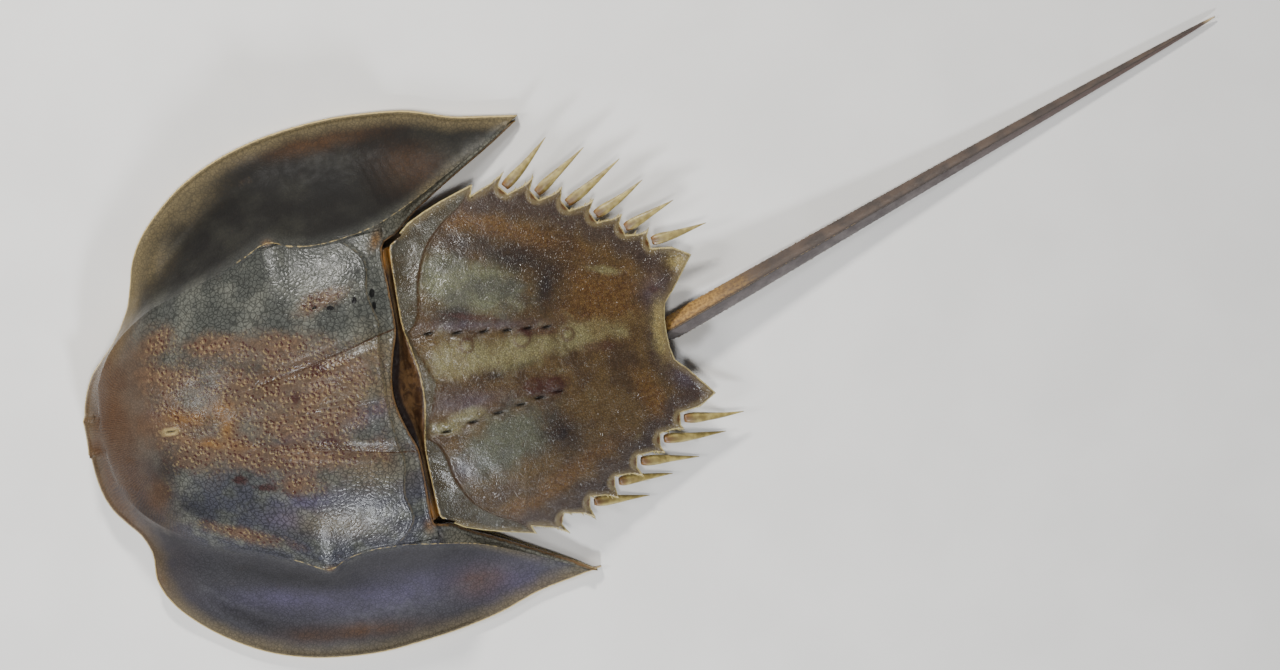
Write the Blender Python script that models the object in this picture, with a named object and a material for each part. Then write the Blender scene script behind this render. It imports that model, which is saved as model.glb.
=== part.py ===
"""Dried shell of an adult male horseshoe crab, seen from above in the photo, as separate closed solids.

The head points to -X, the tail to +X and the crab's right side to +Y. Lengths in the tables are millimetres, and
each mesh is written in metres. The shell stands on the flat undersides of its side brims, at Z = 0.
"""
import math

import bmesh
import bpy
import numpy as np

MM = 0.001

# Driving dimensions, in millimetres
WALL = 1.2
BRIM_TOP = 2.8
BRIM_BAND = 7.0
ARCH_HEIGHT = 6.0
ARCH_END_X = 34.0
HINGE_X = 108.6
HINGE_HALF_WIDTH = 46.0
HINGE_GAP = 1.8
MARGIN_THICKNESS = 2.2
MEMBRANE_THICKNESS = 0.7
MEMBRANE_DROP = 1.0
TELSON_BASE = (194.5, -1.0, 9.6)
TELSON_TIP = (396.0, 69.2, 1.4)
SPINE_LENGTH = 20.5
SPINE_RADIUS = 1.6
SPINE_GAP = 0.5

# Front shield in plan: the outer rim, from the genal tip to the front, for each side (x, distance from midline)
RIM_RIGHT = [(160.0, 78.8), (151.0, 80.2), (138.0, 82.4), (124.5, 86.8), (111.0, 88.5), (98.0, 89.0), (84.0, 88.0),
             (71.0, 85.8), (58.0, 81.8), (46.0, 75.8), (36.5, 68.4), (29.5, 61.0), (25.3, 53.5), (23.2, 46.3),
             (20.6, 38.6), (15.4, 30.2), (10.2, 24.6), (5.6, 19.6), (2.2, 12.6), (0.4, 4.5)]
RIM_LEFT = [(160.5, 76.2), (151.0, 78.0), (138.0, 80.6), (124.5, 85.2), (111.0, 88.2), (98.0, 90.0), (84.0, 91.2),
            (71.0, 90.6), (58.0, 88.5), (45.5, 84.4), (34.0, 78.0), (24.5, 70.4), (17.2, 61.8), (13.4, 52.8),
            (13.6, 43.6), (11.2, 36.6), (7.4, 31.4), (3.6, 25.6), (1.2, 18.6), (0.2, 9.0)]
# The crease between the domed middle and the brim, from the genal tip past the eye to the front
CREASE = [(156.0, 76.4), (145.0, 70.4), (132.0, 63.6), (121.0, 58.2), (109.0, 53.8), (99.0, 51.8), (88.0, 51.0),
          (79.0, 52.2), (72.0, 54.6), (62.0, 50.0), (50.0, 45.4), (39.0, 42.0), (30.5, 39.0), (24.0, 35.4),
          (17.5, 30.6), (12.6, 25.2), (9.2, 19.4), (7.0, 13.4), (6.0, 6.4)]
# The rear edge, from the genal tip along the open side to the hinge corner and along the hinge to the middle
REAR_EDGE = [(159.0, 77.2), (150.0, 71.4), (140.0, 65.6), (131.0, 60.4), (121.0, 54.4), (114.0, 49.2),
             (HINGE_X, HINGE_HALF_WIDTH), (HINGE_X, 33.0), (HINGE_X - 0.1, 20.5), (106.4, 13.0), (104.6, 6.0)]
REAR_MIDDLE = (104.0, 0.0)

# Front shield heights along the midline and along the crease: (x, height)
CREST_HEIGHT = [(0.0, 11.0), (3.0, 15.0), (6.0, 18.4), (12.0, 23.6), (20.0, 29.4), (30.0, 35.2), (42.0, 40.6),
                (56.0, 44.6), (70.0, 47.0), (85.0, 48.0), (98.0, 47.2), (104.0, 45.6), (109.0, 43.6)]
CREASE_HEIGHT = [(5.0, 15.6), (12.0, 18.4), (18.0, 19.4), (25.0, 20.6), (34.0, 23.6), (46.0, 27.4), (58.0, 30.4),
                 (71.0, 32.4), (85.0, 32.2), (98.0, 31.0), (109.0, 28.0), (116.0, 21.0), (124.0, 14.0),
                 (133.0, 9.2), (145.0, 6.0), (160.0, 3.4)]
CREASE_HALF_WIDTH = CREASE[::-1]
# The two furrows beside the middle lobe: (x, distance from the midline)
FURROW = [(52.0, 8.6), (60.0, 9.8), (70.0, 11.8), (80.0, 14.0), (92.0, 16.8), (103.0, 19.4), (109.0, 20.4)]
FURROW_DEPTH = 1.5
FURROW_WIDTH = 2.4

# Rear shield in plan
OPIS_FRONT_EDGE = [(112.6, 46.8), (HINGE_X + HINGE_GAP + 0.4, 44.6), (HINGE_X + HINGE_GAP, 33.0),
                   (HINGE_X + HINGE_GAP, 20.5), (111.9, 12.0), (113.0, 5.0)]
OPIS_FRONT_MIDDLE = (113.2, 0.0)
OPIS_SHOULDER = [(114.8, 49.0), (118.2, 51.6), (123.6, 54.0), (129.6, 56.2), (135.6, 58.0)]
CORNER_TOOTH = [(141.2, 59.6), (139.9, 56.2)]
CORNER_TOOTH_BASE = (138.6, 57.4)
TOOTH_TIPS = [(152.2, 61.8), (161.5, 58.2), (170.3, 53.2), (179.9, 47.3), (188.3, 40.8), (195.9, 34.0)]
SOCKETS = [(151.1, 56.4), (161.1, 52.6), (170.5, 47.4), (179.0, 41.9), (187.9, 36.0), (195.8, 30.2)]
SOCKET_HALF_WIDTH = 2.1
TERMINAL_PROCESS = [(202.6, 27.2), (208.4, 23.6), (204.4, 18.4), (200.4, 13.4)]
REAR_LIP = [(196.8, 9.6), (195.8, 5.0)]
REAR_LIP_MIDDLE = (195.6, 0.0)
# Rear shield heights: (x, height)
OPIS_CREST = [(110.0, 38.6), (118.0, 39.6), (128.0, 39.0), (140.0, 36.8), (155.0, 32.8), (170.0, 27.6),
              (182.0, 22.8), (192.0, 18.6), (198.0, 16.6), (209.0, 13.6)]
OPIS_MARGIN = [(110.0, 27.0), (116.0, 22.6), (124.0, 18.0), (132.0, 14.6), (141.0, 12.2), (151.0, 10.6),
               (165.0, 9.8), (180.0, 9.8), (192.0, 10.8), (209.0, 12.6)]
OPIS_HALF_WIDTH = [(110.0, 48.0), (116.0, 51.0), (124.0, 55.0), (132.0, 58.0), (141.0, 59.6), (151.0, 58.4),
                   (161.0, 54.6), (170.5, 49.4), (179.0, 43.9), (188.0, 38.0), (196.0, 32.4), (209.0, 27.0)]
# The pits along the middle lobe of the rear shield: (x, distance from the midline)
PITS = [(118.4, 16.3), (127.6, 14.8), (136.2, 13.5), (143.8, 12.4), (150.3, 11.5), (156.7, 10.7)]
PIT_SIZE = (3.6, 1.3, 1.6)

# The eyes, on the corners of the creases
EYE_PLACE = (72.5, 54.6)
EYE_SIZE = (8.4, 4.6, 3.4)
OCELLI_X = 30.3
OCELLI_SIZE = (7.5, 2.2, 2.0)

# How far each movable spine turns out from straight back, and down, in degrees
RIGHT_SPINE_TURNS = [(40.2, 1.0), (33.6, 1.0), (30.0, 1.0), (26.4, 1.0), (19.5, 1.0), (8.0, 1.0)]
LEFT_SPINE_TURNS = [None, (7.5, 20.0), (5.5, 19.0), (9.3, 18.0), (5.9, 16.0), (6.1, 13.0)]
RIGHT_SPINE_SHARE = [1.04, 1.06, 1.11, 0.95, 0.9, 0.93]
LEFT_SPINE_SHARE = [None, 0.98, 0.95, 1.02, 1.08, 1.02]

# Grid of each shield: columns between one anchor and the next, and rows from the rear edge to the rim
PROSOMA_COLUMNS = [3, 6, 7, 7, 7]
PROSOMA_INNER_ROWS = 12
PROSOMA_BRIM_ROWS = 6
OPIS_ROWS = 9

COLOURS = {
    "prosoma": ((0.11, 0.115, 0.095, 1.0), 0.3),
    "opisthosoma": ((0.16, 0.095, 0.045, 1.0), 0.35),
    "hinge_membrane": ((0.36, 0.17, 0.03, 1.0), 0.4),
    "telson": ((0.12, 0.075, 0.05, 1.0), 0.45),
    "spine": ((0.5, 0.4, 0.16, 1.0), 0.45),
}


def through(table, x):
    """Height of the smooth curve through a table's points at x, flat past its ends and without overshoot."""
    xs, ys = (np.array(column, float) for column in zip(*table))
    x = np.clip(np.asarray(x, float), xs[0], xs[-1])
    step = np.diff(xs)
    slope = np.diff(ys) / step
    tangent = np.concatenate([slope[:1], (slope[1:] + slope[:-1]) / 2, slope[-1:]])
    turning = slope[1:] * slope[:-1] <= 0
    tangent[1:-1][turning] = 0.0
    limit = 2.5 * np.minimum(np.abs(np.append(slope, slope[-1])), np.abs(np.insert(slope, 0, slope[0])))
    tangent = np.clip(tangent, -limit, limit)
    i = np.clip(np.searchsorted(xs, x, side="right") - 1, 0, len(step) - 1)
    t = (x - xs[i]) / step[i]
    h = step[i]
    return (ys[i] * (1 + 2 * t) * (1 - t) ** 2 + tangent[i] * h * t * (1 - t) ** 2
            + ys[i + 1] * t * t * (3 - 2 * t) + tangent[i + 1] * h * t * t * (t - 1))


def smooth(low, high, value):
    """0 below low, 1 above high, and a smooth rise between."""
    t = np.clip((value - low) / (high - low), 0.0, 1.0)
    return t * t * (3 - 2 * t)


def rounded(points, per_span=12):
    """Points on the smooth curve through the given ones, with per_span points for each span."""
    pts = np.array(points, float)
    ends = np.vstack([2 * pts[0] - pts[1], pts, 2 * pts[-1] - pts[-2]])
    t = np.linspace(0, 1, per_span, endpoint=False)[:, None]
    spans = []
    for a, b, c, d in zip(ends[:-3], ends[1:-2], ends[2:-1], ends[3:]):
        spans.append(0.5 * (2 * b + (c - a) * t + (2 * a - 5 * b + 4 * c - d) * t ** 2
                            + (3 * b - a - 3 * c + d) * t ** 3))
    return np.vstack(spans + [pts[-1:]])


def along(curve, start, end, count):
    """count points evenly spaced on the part of a curve between its points start and end, without the last."""
    part = curve[start:end + 1]
    length = np.concatenate([[0], np.cumsum(np.linalg.norm(np.diff(part, axis=0), axis=1))])
    want = np.linspace(0, length[-1], count, endpoint=False)
    return np.stack([np.interp(want, length, part[:, k]) for k in (0, 1)], axis=1)


def nearest(points, curve):
    """Distance from each point to a curve, and the nearest point on it."""
    start, end = curve[:-1], curve[1:]
    span = end - start
    best = np.full(len(points), np.inf)
    foot = np.zeros((len(points), 2))
    for a, d in zip(start, span):
        t = np.clip(((points - a) @ d) / max(d @ d, 1e-12), 0, 1)
        near = a + t[:, None] * d
        away = np.linalg.norm(points - near, axis=1)
        closer = away < best
        best[closer] = away[closer]
        foot[closer] = near[closer]
    return best, foot


def mirrored(points):
    return [(x, -y) for x, y in points]


def full_curve(right, middle, left):
    """The smooth curve from the right end through the middle to the left end, all in plan."""
    points = right + ([middle] if middle else []) + mirrored(left)[::-1]
    return rounded(points)


RIM = full_curve(RIM_RIGHT, None, RIM_LEFT)
CREASE_LINE = full_curve(CREASE, (5.8, 0.0), CREASE)


# Heights of the front shield

def arch(x):
    """Height of the rim's underside: it stands on the floor at the sides and arches up at the front."""
    return ARCH_HEIGHT * (1 - smooth(0.0, ARCH_END_X, x)) ** 1.4


def furrow_cut(x, y):
    away = np.abs(np.abs(y) - through(FURROW, x))
    fade = smooth(48.0, 62.0, x)
    return FURROW_DEPTH * fade * np.exp(-((away / FURROW_WIDTH) ** 2))


def dome_height(x, y):
    """Height inside the crease, from the midline's and the crease's own heights."""
    crest = through(CREST_HEIGHT, x)
    edge = through(CREASE_HEIGHT, x)
    across = np.clip(np.abs(y) / through(CREASE_HALF_WIDTH, x), 0, 1.3)
    return edge + (crest - edge) * (1 - across ** 2.3) - furrow_cut(x, y)


def prosoma_top(x, y):
    """Height of the front shield's outer surface over the points of its plan."""
    points = np.stack([x, y], axis=1)
    to_rim, _ = nearest(points, RIM)
    to_crease, foot = nearest(points, CREASE_LINE)
    rim_top = BRIM_TOP + arch(x)
    outside = np.abs(y) > through(CREASE_HALF_WIDTH, x)
    share = to_crease / np.maximum(to_crease + to_rim, 1e-6)
    front = 1 - smooth(20.0, 50.0, x)
    power = 2.2 - 1.15 * front
    base = dome_height(foot[:, 0], foot[:, 1])
    slope = rim_top + (base - rim_top) * (1 - share) ** power
    behind = x > HINGE_X + 0.5
    inner_strip = through(CREASE_HEIGHT, x) - 0.45 * to_crease * smooth(HINGE_X, 118.0, x)
    dome = np.where(behind, np.maximum(inner_strip, rim_top), dome_height(x, y))
    return np.where(outside, slope, dome)


def slope_share(height, x, y, step=0.4):
    """How much longer a wall's upright thickness is than its true one, on the slope of a surface."""
    dx = (height(x + step, y) - height(x - step, y)) / (2 * step)
    dy = (height(x, y + step) - height(x, y - step)) / (2 * step)
    return np.minimum(np.sqrt(1 + dx * dx + dy * dy), 2.2)


def prosoma_bottom(x, y):
    """The hollow inside of the front shield, with a flat band under the brim."""
    points = np.stack([x, y], axis=1)
    to_rim, _ = nearest(points, RIM)
    inside = prosoma_top(x, y) - WALL * slope_share(prosoma_top, x, y)
    floor = arch(x)
    flat = (to_rim < BRIM_BAND) | (inside - floor < WALL)
    return np.where(flat, floor, inside)


# Heights of the rear shield

def opis_facet(x, y):
    """The rear shield's low front strip, which slides under the front shield: 1 on it and 0 behind it."""
    side_line = through([(0.0, 118.2), (6.0, 116.0), (17.5, 112.0), (20.0, 114.6), (34.0, 118.4), (44.0, 123.2),
                         (50.5, 130.4), (53.5, 135.2), (60.0, 141.0)], np.abs(y))
    return 1 - smooth(-0.5, 0.7, x - side_line)


def opis_top(x, y):
    crest = through(OPIS_CREST, x)
    margin = through(OPIS_MARGIN, x)
    across = np.clip(np.abs(y) / through(OPIS_HALF_WIDTH, x), 0, 1)
    height = margin + (crest - margin) * (1 - across ** 2.3) ** 1.15
    lobe = through(PITS, x)
    groove = np.exp(-(((np.abs(y) - lobe) / 2.4) ** 2)) * (1 - smooth(150.0, 172.0, x))
    return height - 0.8 * groove - 1.3 * opis_facet(x, y)


def opis_bottom(x, y, rim_distance):
    inside = opis_top(x, y) - WALL * slope_share(opis_top, x, y)
    band = opis_top(x, y) - MARGIN_THICKNESS
    return np.where(rim_distance < 4.0, band, inside)


# Turning grids into solids

def remove_everything():
    for thing in list(bpy.data.objects):
        bpy.data.objects.remove(thing, do_unlink=True)


def new_collection(name):
    collection = bpy.data.collections.new(name)
    bpy.context.scene.collection.children.link(collection)
    return collection


def finish_material(name, key):
    material = bpy.data.materials.new(name)
    material.use_nodes = True
    shader = material.node_tree.nodes["Principled BSDF"]
    colour, roughness = COLOURS[key]
    shader.inputs["Base Color"].default_value = colour
    shader.inputs["Roughness"].default_value = roughness
    shader.inputs["Metallic"].default_value = 0.0
    return material


def mesh_object(name, vertices, faces, collection, key, parent):
    """A closed mesh, its places given in millimetres, as an object whose faces point out."""
    mesh = bpy.data.meshes.new(name)
    mesh.from_pydata([tuple(MM * c for c in v) for v in vertices], [], faces)
    work = bmesh.new()
    work.from_mesh(mesh)
    bmesh.ops.recalc_face_normals(work, faces=work.faces)
    work.to_mesh(mesh)
    work.free()
    mesh.shade_smooth()
    mesh.set_sharp_from_angle(angle=math.radians(35))
    mesh.materials.append(finish_material(name, key))
    thing = bpy.data.objects.new(name, mesh)
    collection.objects.link(thing)
    thing.parent = parent
    return thing


def slab(plan, top, bottom):
    """Vertices and faces of the solid between two height grids over one plan grid of columns by rows."""
    columns, rows = plan.shape[:2]
    upper = np.dstack([plan, top]).reshape(-1, 3)
    lower = np.dstack([plan, bottom]).reshape(-1, 3)
    count = columns * rows
    at = lambda c, r: c * rows + r
    faces = []
    for c in range(columns - 1):
        for r in range(rows - 1):
            quad = (at(c, r), at(c + 1, r), at(c + 1, r + 1), at(c, r + 1))
            faces.append(quad)
            faces.append(tuple(count + i for i in quad[::-1]))
    border = [at(c, 0) for c in range(columns)] + [at(columns - 1, r) for r in range(1, rows)]
    border += [at(c, rows - 1) for c in range(columns - 2, -1, -1)] + [at(0, r) for r in range(rows - 2, 0, -1)]
    for i, a in enumerate(border):
        b = border[(i + 1) % len(border)]
        faces.append((b, a, count + a, count + b))
    return np.vstack([upper, lower]), faces


def prosoma_plan():
    """The front shield's plan grid: columns run from the rear edge over the crease to the rim."""
    span = 12
    rim_marks = [0, 3, 4.6, 7, 13.6, 19.5]
    crease_marks = [0, 2.4, 4, 8, 13, 19]
    rear_marks = [0, 3.2, 6, 7.4, 9.2, 11]
    rear = full_curve(REAR_EDGE, REAR_MIDDLE, REAR_EDGE)
    sides = []
    for mirror in (1, -1):
        lines = []
        for curve, marks in ((RIM, rim_marks), (CREASE_LINE, crease_marks), (rear, rear_marks)):
            part = curve if mirror == 1 else curve[::-1]
            pieces = [along(part, round(span * a), round(span * b), n)
                      for a, b, n in zip(marks[:-1], marks[1:], PROSOMA_COLUMNS)]
            lines.append(np.vstack(pieces))
        sides.append(lines)
    middle = [RIM[round(span * rim_marks[-1])], CREASE_LINE[span * crease_marks[-1]], rear[span * rear_marks[-1]]]
    rim, crease, back = (np.vstack([right, m[None], left[::-1]]) for right, m, left in zip(sides[0], middle, sides[1]))
    inner = np.linspace(0, 1, PROSOMA_INNER_ROWS + 1)[None, :, None]
    outer = np.linspace(0, 1, PROSOMA_BRIM_ROWS + 1)[None, 1:, None]
    return np.concatenate([back[:, None] * (1 - inner) + crease[:, None] * inner,
                           crease[:, None] * (1 - outer) + rim[:, None] * outer], axis=1)


def over(plan, height):
    """A height function's values over a plan grid."""
    flat = plan.reshape(-1, 2)
    return height(flat[:, 0], flat[:, 1]).reshape(plan.shape[:2])


def make_prosoma(collection, parent):
    plan = prosoma_plan()
    vertices, faces = slab(plan, over(plan, prosoma_top), over(plan, prosoma_bottom))
    return mesh_object("prosoma", vertices, faces, collection, "prosoma", parent)


def spine_direction(turn):
    return np.array([math.cos(math.radians(turn)), math.sin(math.radians(turn))])


def toothed_margin(turns):
    """One side's margin from the hinge corner to the lip: each outer point with the body point inside it."""
    outer, inner = [], []

    def add(point, depth, base=None):
        centre = np.array([150.0, 0.0])
        base = np.array(point if base is None else base, float)
        outer.append(np.array(point, float))
        inner.append(base + depth * (centre - base) / np.linalg.norm(centre - base))

    for point in OPIS_SHOULDER:
        add(point, 1.6)
    add(CORNER_TOOTH[0], 1.8, CORNER_TOOTH_BASE)
    add(CORNER_TOOTH[1], 1.6)
    previous = np.array(CORNER_TOOTH[1], float)
    for tip, socket, turn in zip(TOOTH_TIPS, SOCKETS, turns):
        forward = spine_direction(turn)
        out = np.array([-forward[1], forward[0]])
        floor = np.array(socket) - 0.5 * forward
        foot = floor + SOCKET_HALF_WIDTH * out
        tip = np.array(tip, float)
        add(previous * 0.42 + tip * 0.58 - 0.7 * out, 1.5, previous * 0.62 + foot * 0.38)
        add(tip, 1.5, previous * 0.22 + foot * 0.78)
        add(foot, 1.5)
        add(floor - SOCKET_HALF_WIDTH * out, 1.5)
        previous = outer[-1]
    add(TERMINAL_PROCESS[0], 3.0)
    add(TERMINAL_PROCESS[1], 7.0)
    add(TERMINAL_PROCESS[2], 4.0)
    add(TERMINAL_PROCESS[3], 2.6)
    for point in REAR_LIP:
        add(point, 2.0)
    return np.array(outer), np.array(inner)


def opis_plan():
    """The rear shield's plan grid: columns fan out from its front edge to the toothed margin."""
    sides = []
    for turns, mirror in ((RIGHT_SPINE_TURNS, 1), (LEFT_SPINE_TURNS, -1)):
        angles = [turn[0] if turn else 20.0 for turn in turns]
        outer, inner = toothed_margin(angles)
        sides.append((outer * (1, mirror), inner * (1, mirror)))
    middle = np.array(REAR_LIP_MIDDLE)
    rim = np.vstack([sides[0][0], middle[None], sides[1][0][::-1]])
    body = np.vstack([sides[0][1], middle[None] - (2.0, 0.0), sides[1][1][::-1]])
    steps = np.linalg.norm(np.diff(body, axis=0), axis=1)
    share = np.concatenate([[0], np.cumsum(steps)]) / steps.sum()
    edge = full_curve(OPIS_FRONT_EDGE, OPIS_FRONT_MIDDLE, OPIS_FRONT_EDGE)
    length = np.concatenate([[0], np.cumsum(np.linalg.norm(np.diff(edge, axis=0), axis=1))])
    front = np.stack([np.interp(share * length[-1], length, edge[:, k]) for k in (0, 1)], axis=1)
    t = np.linspace(0, 1, OPIS_ROWS + 1)[None, :, None]
    inner_grid = front[:, None] * (1 - t) + body[:, None] * t
    return np.concatenate([inner_grid, rim[:, None]], axis=1)


def make_opisthosoma(collection, parent):
    plan = opis_plan()
    flat = plan.reshape(-1, 2)
    rim = plan[:, -1]
    to_rim, _ = nearest(flat, rim)
    top = over(plan, opis_top)
    bottom = opis_bottom(flat[:, 0], flat[:, 1], to_rim).reshape(plan.shape[:2])
    vertices, faces = slab(plan, top, bottom)
    return mesh_object("opisthosoma", vertices, faces, collection, "opisthosoma", parent)


def make_hinge_membrane(collection, parent):
    """A thin strip across the hinge, under the edges of both shields."""
    half = HINGE_HALF_WIDTH - 3.0
    across = np.linspace(half, -half, 17)
    bulge = 4.3 * np.exp(-((across / 10.0) ** 2))
    front = HINGE_X - bulge
    rear = HINGE_X + HINGE_GAP + 0.7 * bulge
    plan = np.stack([np.stack([edge + offset, across], axis=1)
                     for edge, offset in ((front, -3.2), (front, -0.2), (rear, 0.2), (rear, 3.2))], axis=1)
    flat = plan.reshape(-1, 2)
    under_front = prosoma_top(np.minimum(flat[:, 0], HINGE_X), flat[:, 1]).reshape(plan.shape[:2])
    under_rear = opis_top(flat[:, 0], flat[:, 1]).reshape(plan.shape[:2])
    top = np.concatenate([under_front[:, :2], under_rear[:, 2:]], axis=1) - WALL * 1.35 - MEMBRANE_DROP
    vertices, faces = slab(plan, top, top - MEMBRANE_THICKNESS)
    return mesh_object("hinge_membrane", vertices, faces, collection, "hinge_membrane", parent)


def rings(centres, forward, profiles):
    """A closed tube through profiles, each a list of (side, up) offsets round its centre, with flat ends."""
    side = np.cross((0.0, 0.0, 1.0), forward)
    side /= np.linalg.norm(side)
    up = np.cross(forward, side)
    vertices = []
    for centre, profile in zip(centres, profiles):
        vertices += [np.array(centre) + a * side + b * up for a, b in profile]
    n = len(profiles[0])
    faces = [tuple(range(n))[::-1], tuple(range(len(vertices) - n, len(vertices)))]
    for k in range(len(profiles) - 1):
        for i in range(n):
            j = (i + 1) % n
            faces.append((k * n + i, k * n + j, (k + 1) * n + j, (k + 1) * n + i))
    return vertices, faces


def make_telson(collection, parent):
    """A three-edged spike with its keel on top."""
    start, end = np.array(TELSON_BASE), np.array(TELSON_TIP)
    forward = (end - start) / np.linalg.norm(end - start)
    shares = [0.0, 0.02, 0.06, 0.14, 0.24, 0.36, 0.48, 0.6, 0.72, 0.83, 0.92, 0.97, 1.0]
    half_widths = through([(0.0, 3.0), (0.02, 3.9), (0.06, 4.1), (0.3, 3.5), (0.55, 2.7), (0.8, 1.7), (0.93, 0.95),
                           (1.0, 0.3)], shares)
    section = [(0.0, 1.0), (-0.55, 0.35), (-1.0, -0.45), (-0.6, -0.8), (0.6, -0.8), (1.0, -0.45), (0.55, 0.35)]
    centres = [start + (end - start) * s - np.array([0, 0, 2.2 * math.sin(math.pi * s)]) for s in shares]
    profiles = [[(w * a, w * 0.92 * b) for a, b in section] for w in half_widths]
    vertices, faces = rings(centres, forward, profiles)
    return mesh_object("telson", vertices, faces, collection, "telson", parent)


def make_spine(name, socket, turn, share, mirror, collection, parent):
    """One movable side spine: a round cone, a little flattened, that starts just clear of its socket."""
    out, down = (math.radians(a) for a in turn)
    flat = np.array([math.cos(out), math.sin(out) * mirror, 0.0])
    forward = flat * math.cos(down) + np.array([0, 0, -math.sin(down)])
    x, y = socket
    height = float(opis_top(np.array([x]), np.array([y]))[0]) - 0.5 * MARGIN_THICKNESS
    gap = SPINE_GAP + SPINE_RADIUS * math.sin(down)
    start = np.array([x, y * mirror, height]) + gap * forward
    length = SPINE_LENGTH * share
    centres = [start + forward * length * s for s in (0.0, 0.12, 0.5, 1.0)]
    radii = [1.25, SPINE_RADIUS, 1.0, 0.18]
    around = [2 * math.pi * k / 7 for k in range(7)]
    profiles = [[(r * math.cos(a), 0.75 * r * math.sin(a)) for a in around] for r in radii]
    vertices, faces = rings(centres, forward, profiles)
    return mesh_object(name, vertices, faces, collection, "spine", parent)


def cutter_block(name, place, size, turn, collection, parent):
    """A small lens for cutting or joining, made from a sphere with few faces."""
    mesh = bpy.data.meshes.new(name)
    work = bmesh.new()
    bmesh.ops.create_uvsphere(work, u_segments=8, v_segments=5, radius=0.5)
    bmesh.ops.scale(work, vec=[MM * s for s in size], verts=work.verts)
    work.to_mesh(mesh)
    work.free()
    thing = bpy.data.objects.new(name, mesh)
    thing.location = [MM * c for c in place]
    thing.rotation_euler = (0.0, 0.0, turn)
    thing.hide_render = True
    thing.display_type = "WIRE"
    thing.parent = parent
    collection.objects.link(thing)
    return thing


def combine(target, tool, operation):
    modifier = target.modifiers.new(tool.name, "BOOLEAN")
    modifier.operation = operation
    modifier.object = tool
    modifier.solver = "EXACT"


def add_eyes(prosoma, cutters, parent):
    """The two compound eyes and the small front ridge of the median eyes, joined to the shield."""
    x, y = EYE_PLACE
    for mirror, name in ((1, "right_eye_form"), (-1, "left_eye_form")):
        height = float(prosoma_top(np.array([x]), np.array([y * mirror]))[0])
        eye = cutter_block(name, (x, y * mirror, height - 0.5), EYE_SIZE, 0.0, cutters, parent)
        combine(prosoma, eye, "UNION")
    height = float(prosoma_top(np.array([OCELLI_X]), np.array([0.0]))[0])
    ocelli = cutter_block("ocelli_form", (OCELLI_X, 0.0, height - 0.2), OCELLI_SIZE, 0.0, cutters, parent)
    combine(prosoma, ocelli, "UNION")


def add_pits(opisthosoma, cutters, parent):
    """Two rows of slit-shaped pits, along the furrows beside the middle lobe."""
    for i, (x, y) in enumerate(PITS, 1):
        for mirror, side in ((1, "right"), (-1, "left")):
            height = float(opis_top(np.array([x]), np.array([y]))[0])
            pit = cutter_block(f"{side}_pit_{i}", (x, y * mirror, height + 0.15), PIT_SIZE, 0.0, cutters, parent)
            combine(opisthosoma, pit, "DIFFERENCE")


def build():
    remove_everything()
    shell = new_collection("horseshoe_crab_shell")
    cutters = new_collection("cutters")
    frame = bpy.data.objects.new("shell_frame", None)
    shell.objects.link(frame)
    prosoma = make_prosoma(shell, frame)
    add_eyes(prosoma, cutters, frame)
    opisthosoma = make_opisthosoma(shell, frame)
    add_pits(opisthosoma, cutters, frame)
    make_hinge_membrane(shell, frame)
    make_telson(shell, frame)
    for i, socket in enumerate(SOCKETS):
        make_spine(f"right_spine_{i + 1}", socket, RIGHT_SPINE_TURNS[i], RIGHT_SPINE_SHARE[i], 1, shell, frame)
        if LEFT_SPINE_TURNS[i]:
            make_spine(f"left_spine_{i + 1}", socket, LEFT_SPINE_TURNS[i], LEFT_SPINE_SHARE[i], -1, shell, frame)
    frame.location = (-0.5 * TELSON_TIP[0] * MM, 0.0, 0.0)


build()
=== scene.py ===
"""Looks of the dried horseshoe crab shell: fine surfaces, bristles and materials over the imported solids.

Tables hold millimetres in the shell's own plan, with x from the front rim to the tail. The frame's
origin lies PLAN_SHIFT further back, and every mesh is written in metres.
"""
import math
import random

import bpy
import numpy as np
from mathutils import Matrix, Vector


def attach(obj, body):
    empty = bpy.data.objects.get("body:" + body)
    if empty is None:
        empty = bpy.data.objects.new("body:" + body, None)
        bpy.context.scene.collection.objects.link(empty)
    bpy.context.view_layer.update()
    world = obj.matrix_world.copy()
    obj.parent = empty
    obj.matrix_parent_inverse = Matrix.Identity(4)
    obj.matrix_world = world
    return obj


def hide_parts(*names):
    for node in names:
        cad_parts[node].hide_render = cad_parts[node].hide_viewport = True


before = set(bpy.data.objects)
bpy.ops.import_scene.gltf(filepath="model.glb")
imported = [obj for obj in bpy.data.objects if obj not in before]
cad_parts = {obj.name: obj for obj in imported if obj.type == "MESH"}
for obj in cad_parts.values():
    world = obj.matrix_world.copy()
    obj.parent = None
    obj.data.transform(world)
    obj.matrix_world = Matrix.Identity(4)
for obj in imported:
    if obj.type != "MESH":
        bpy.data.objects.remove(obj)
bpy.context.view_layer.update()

MM = 0.001
PLAN_SHIFT = 198.0
SPAN = 12
FAR_AWAY = 99.0

# Plan and height tables, as the solids have them
WALL = 1.2
BRIM_TOP = 2.8
BRIM_BAND = 7.0
ARCH_HEIGHT = 6.0
ARCH_END_X = 34.0
HINGE_X = 108.6
HINGE_HALF_WIDTH = 46.0
HINGE_GAP = 1.8
TELSON_BASE = (194.5, -1.0, 9.6)
TELSON_TIP = (396.0, 69.2, 1.4)
SPINE_LENGTH = 20.5
SPINE_RADIUS = 1.6
SPINE_GAP = 0.5
MARGIN_THICKNESS = 2.2
MEMBRANE_THICKNESS = 0.7
MEMBRANE_DROP = 1.0

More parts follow.
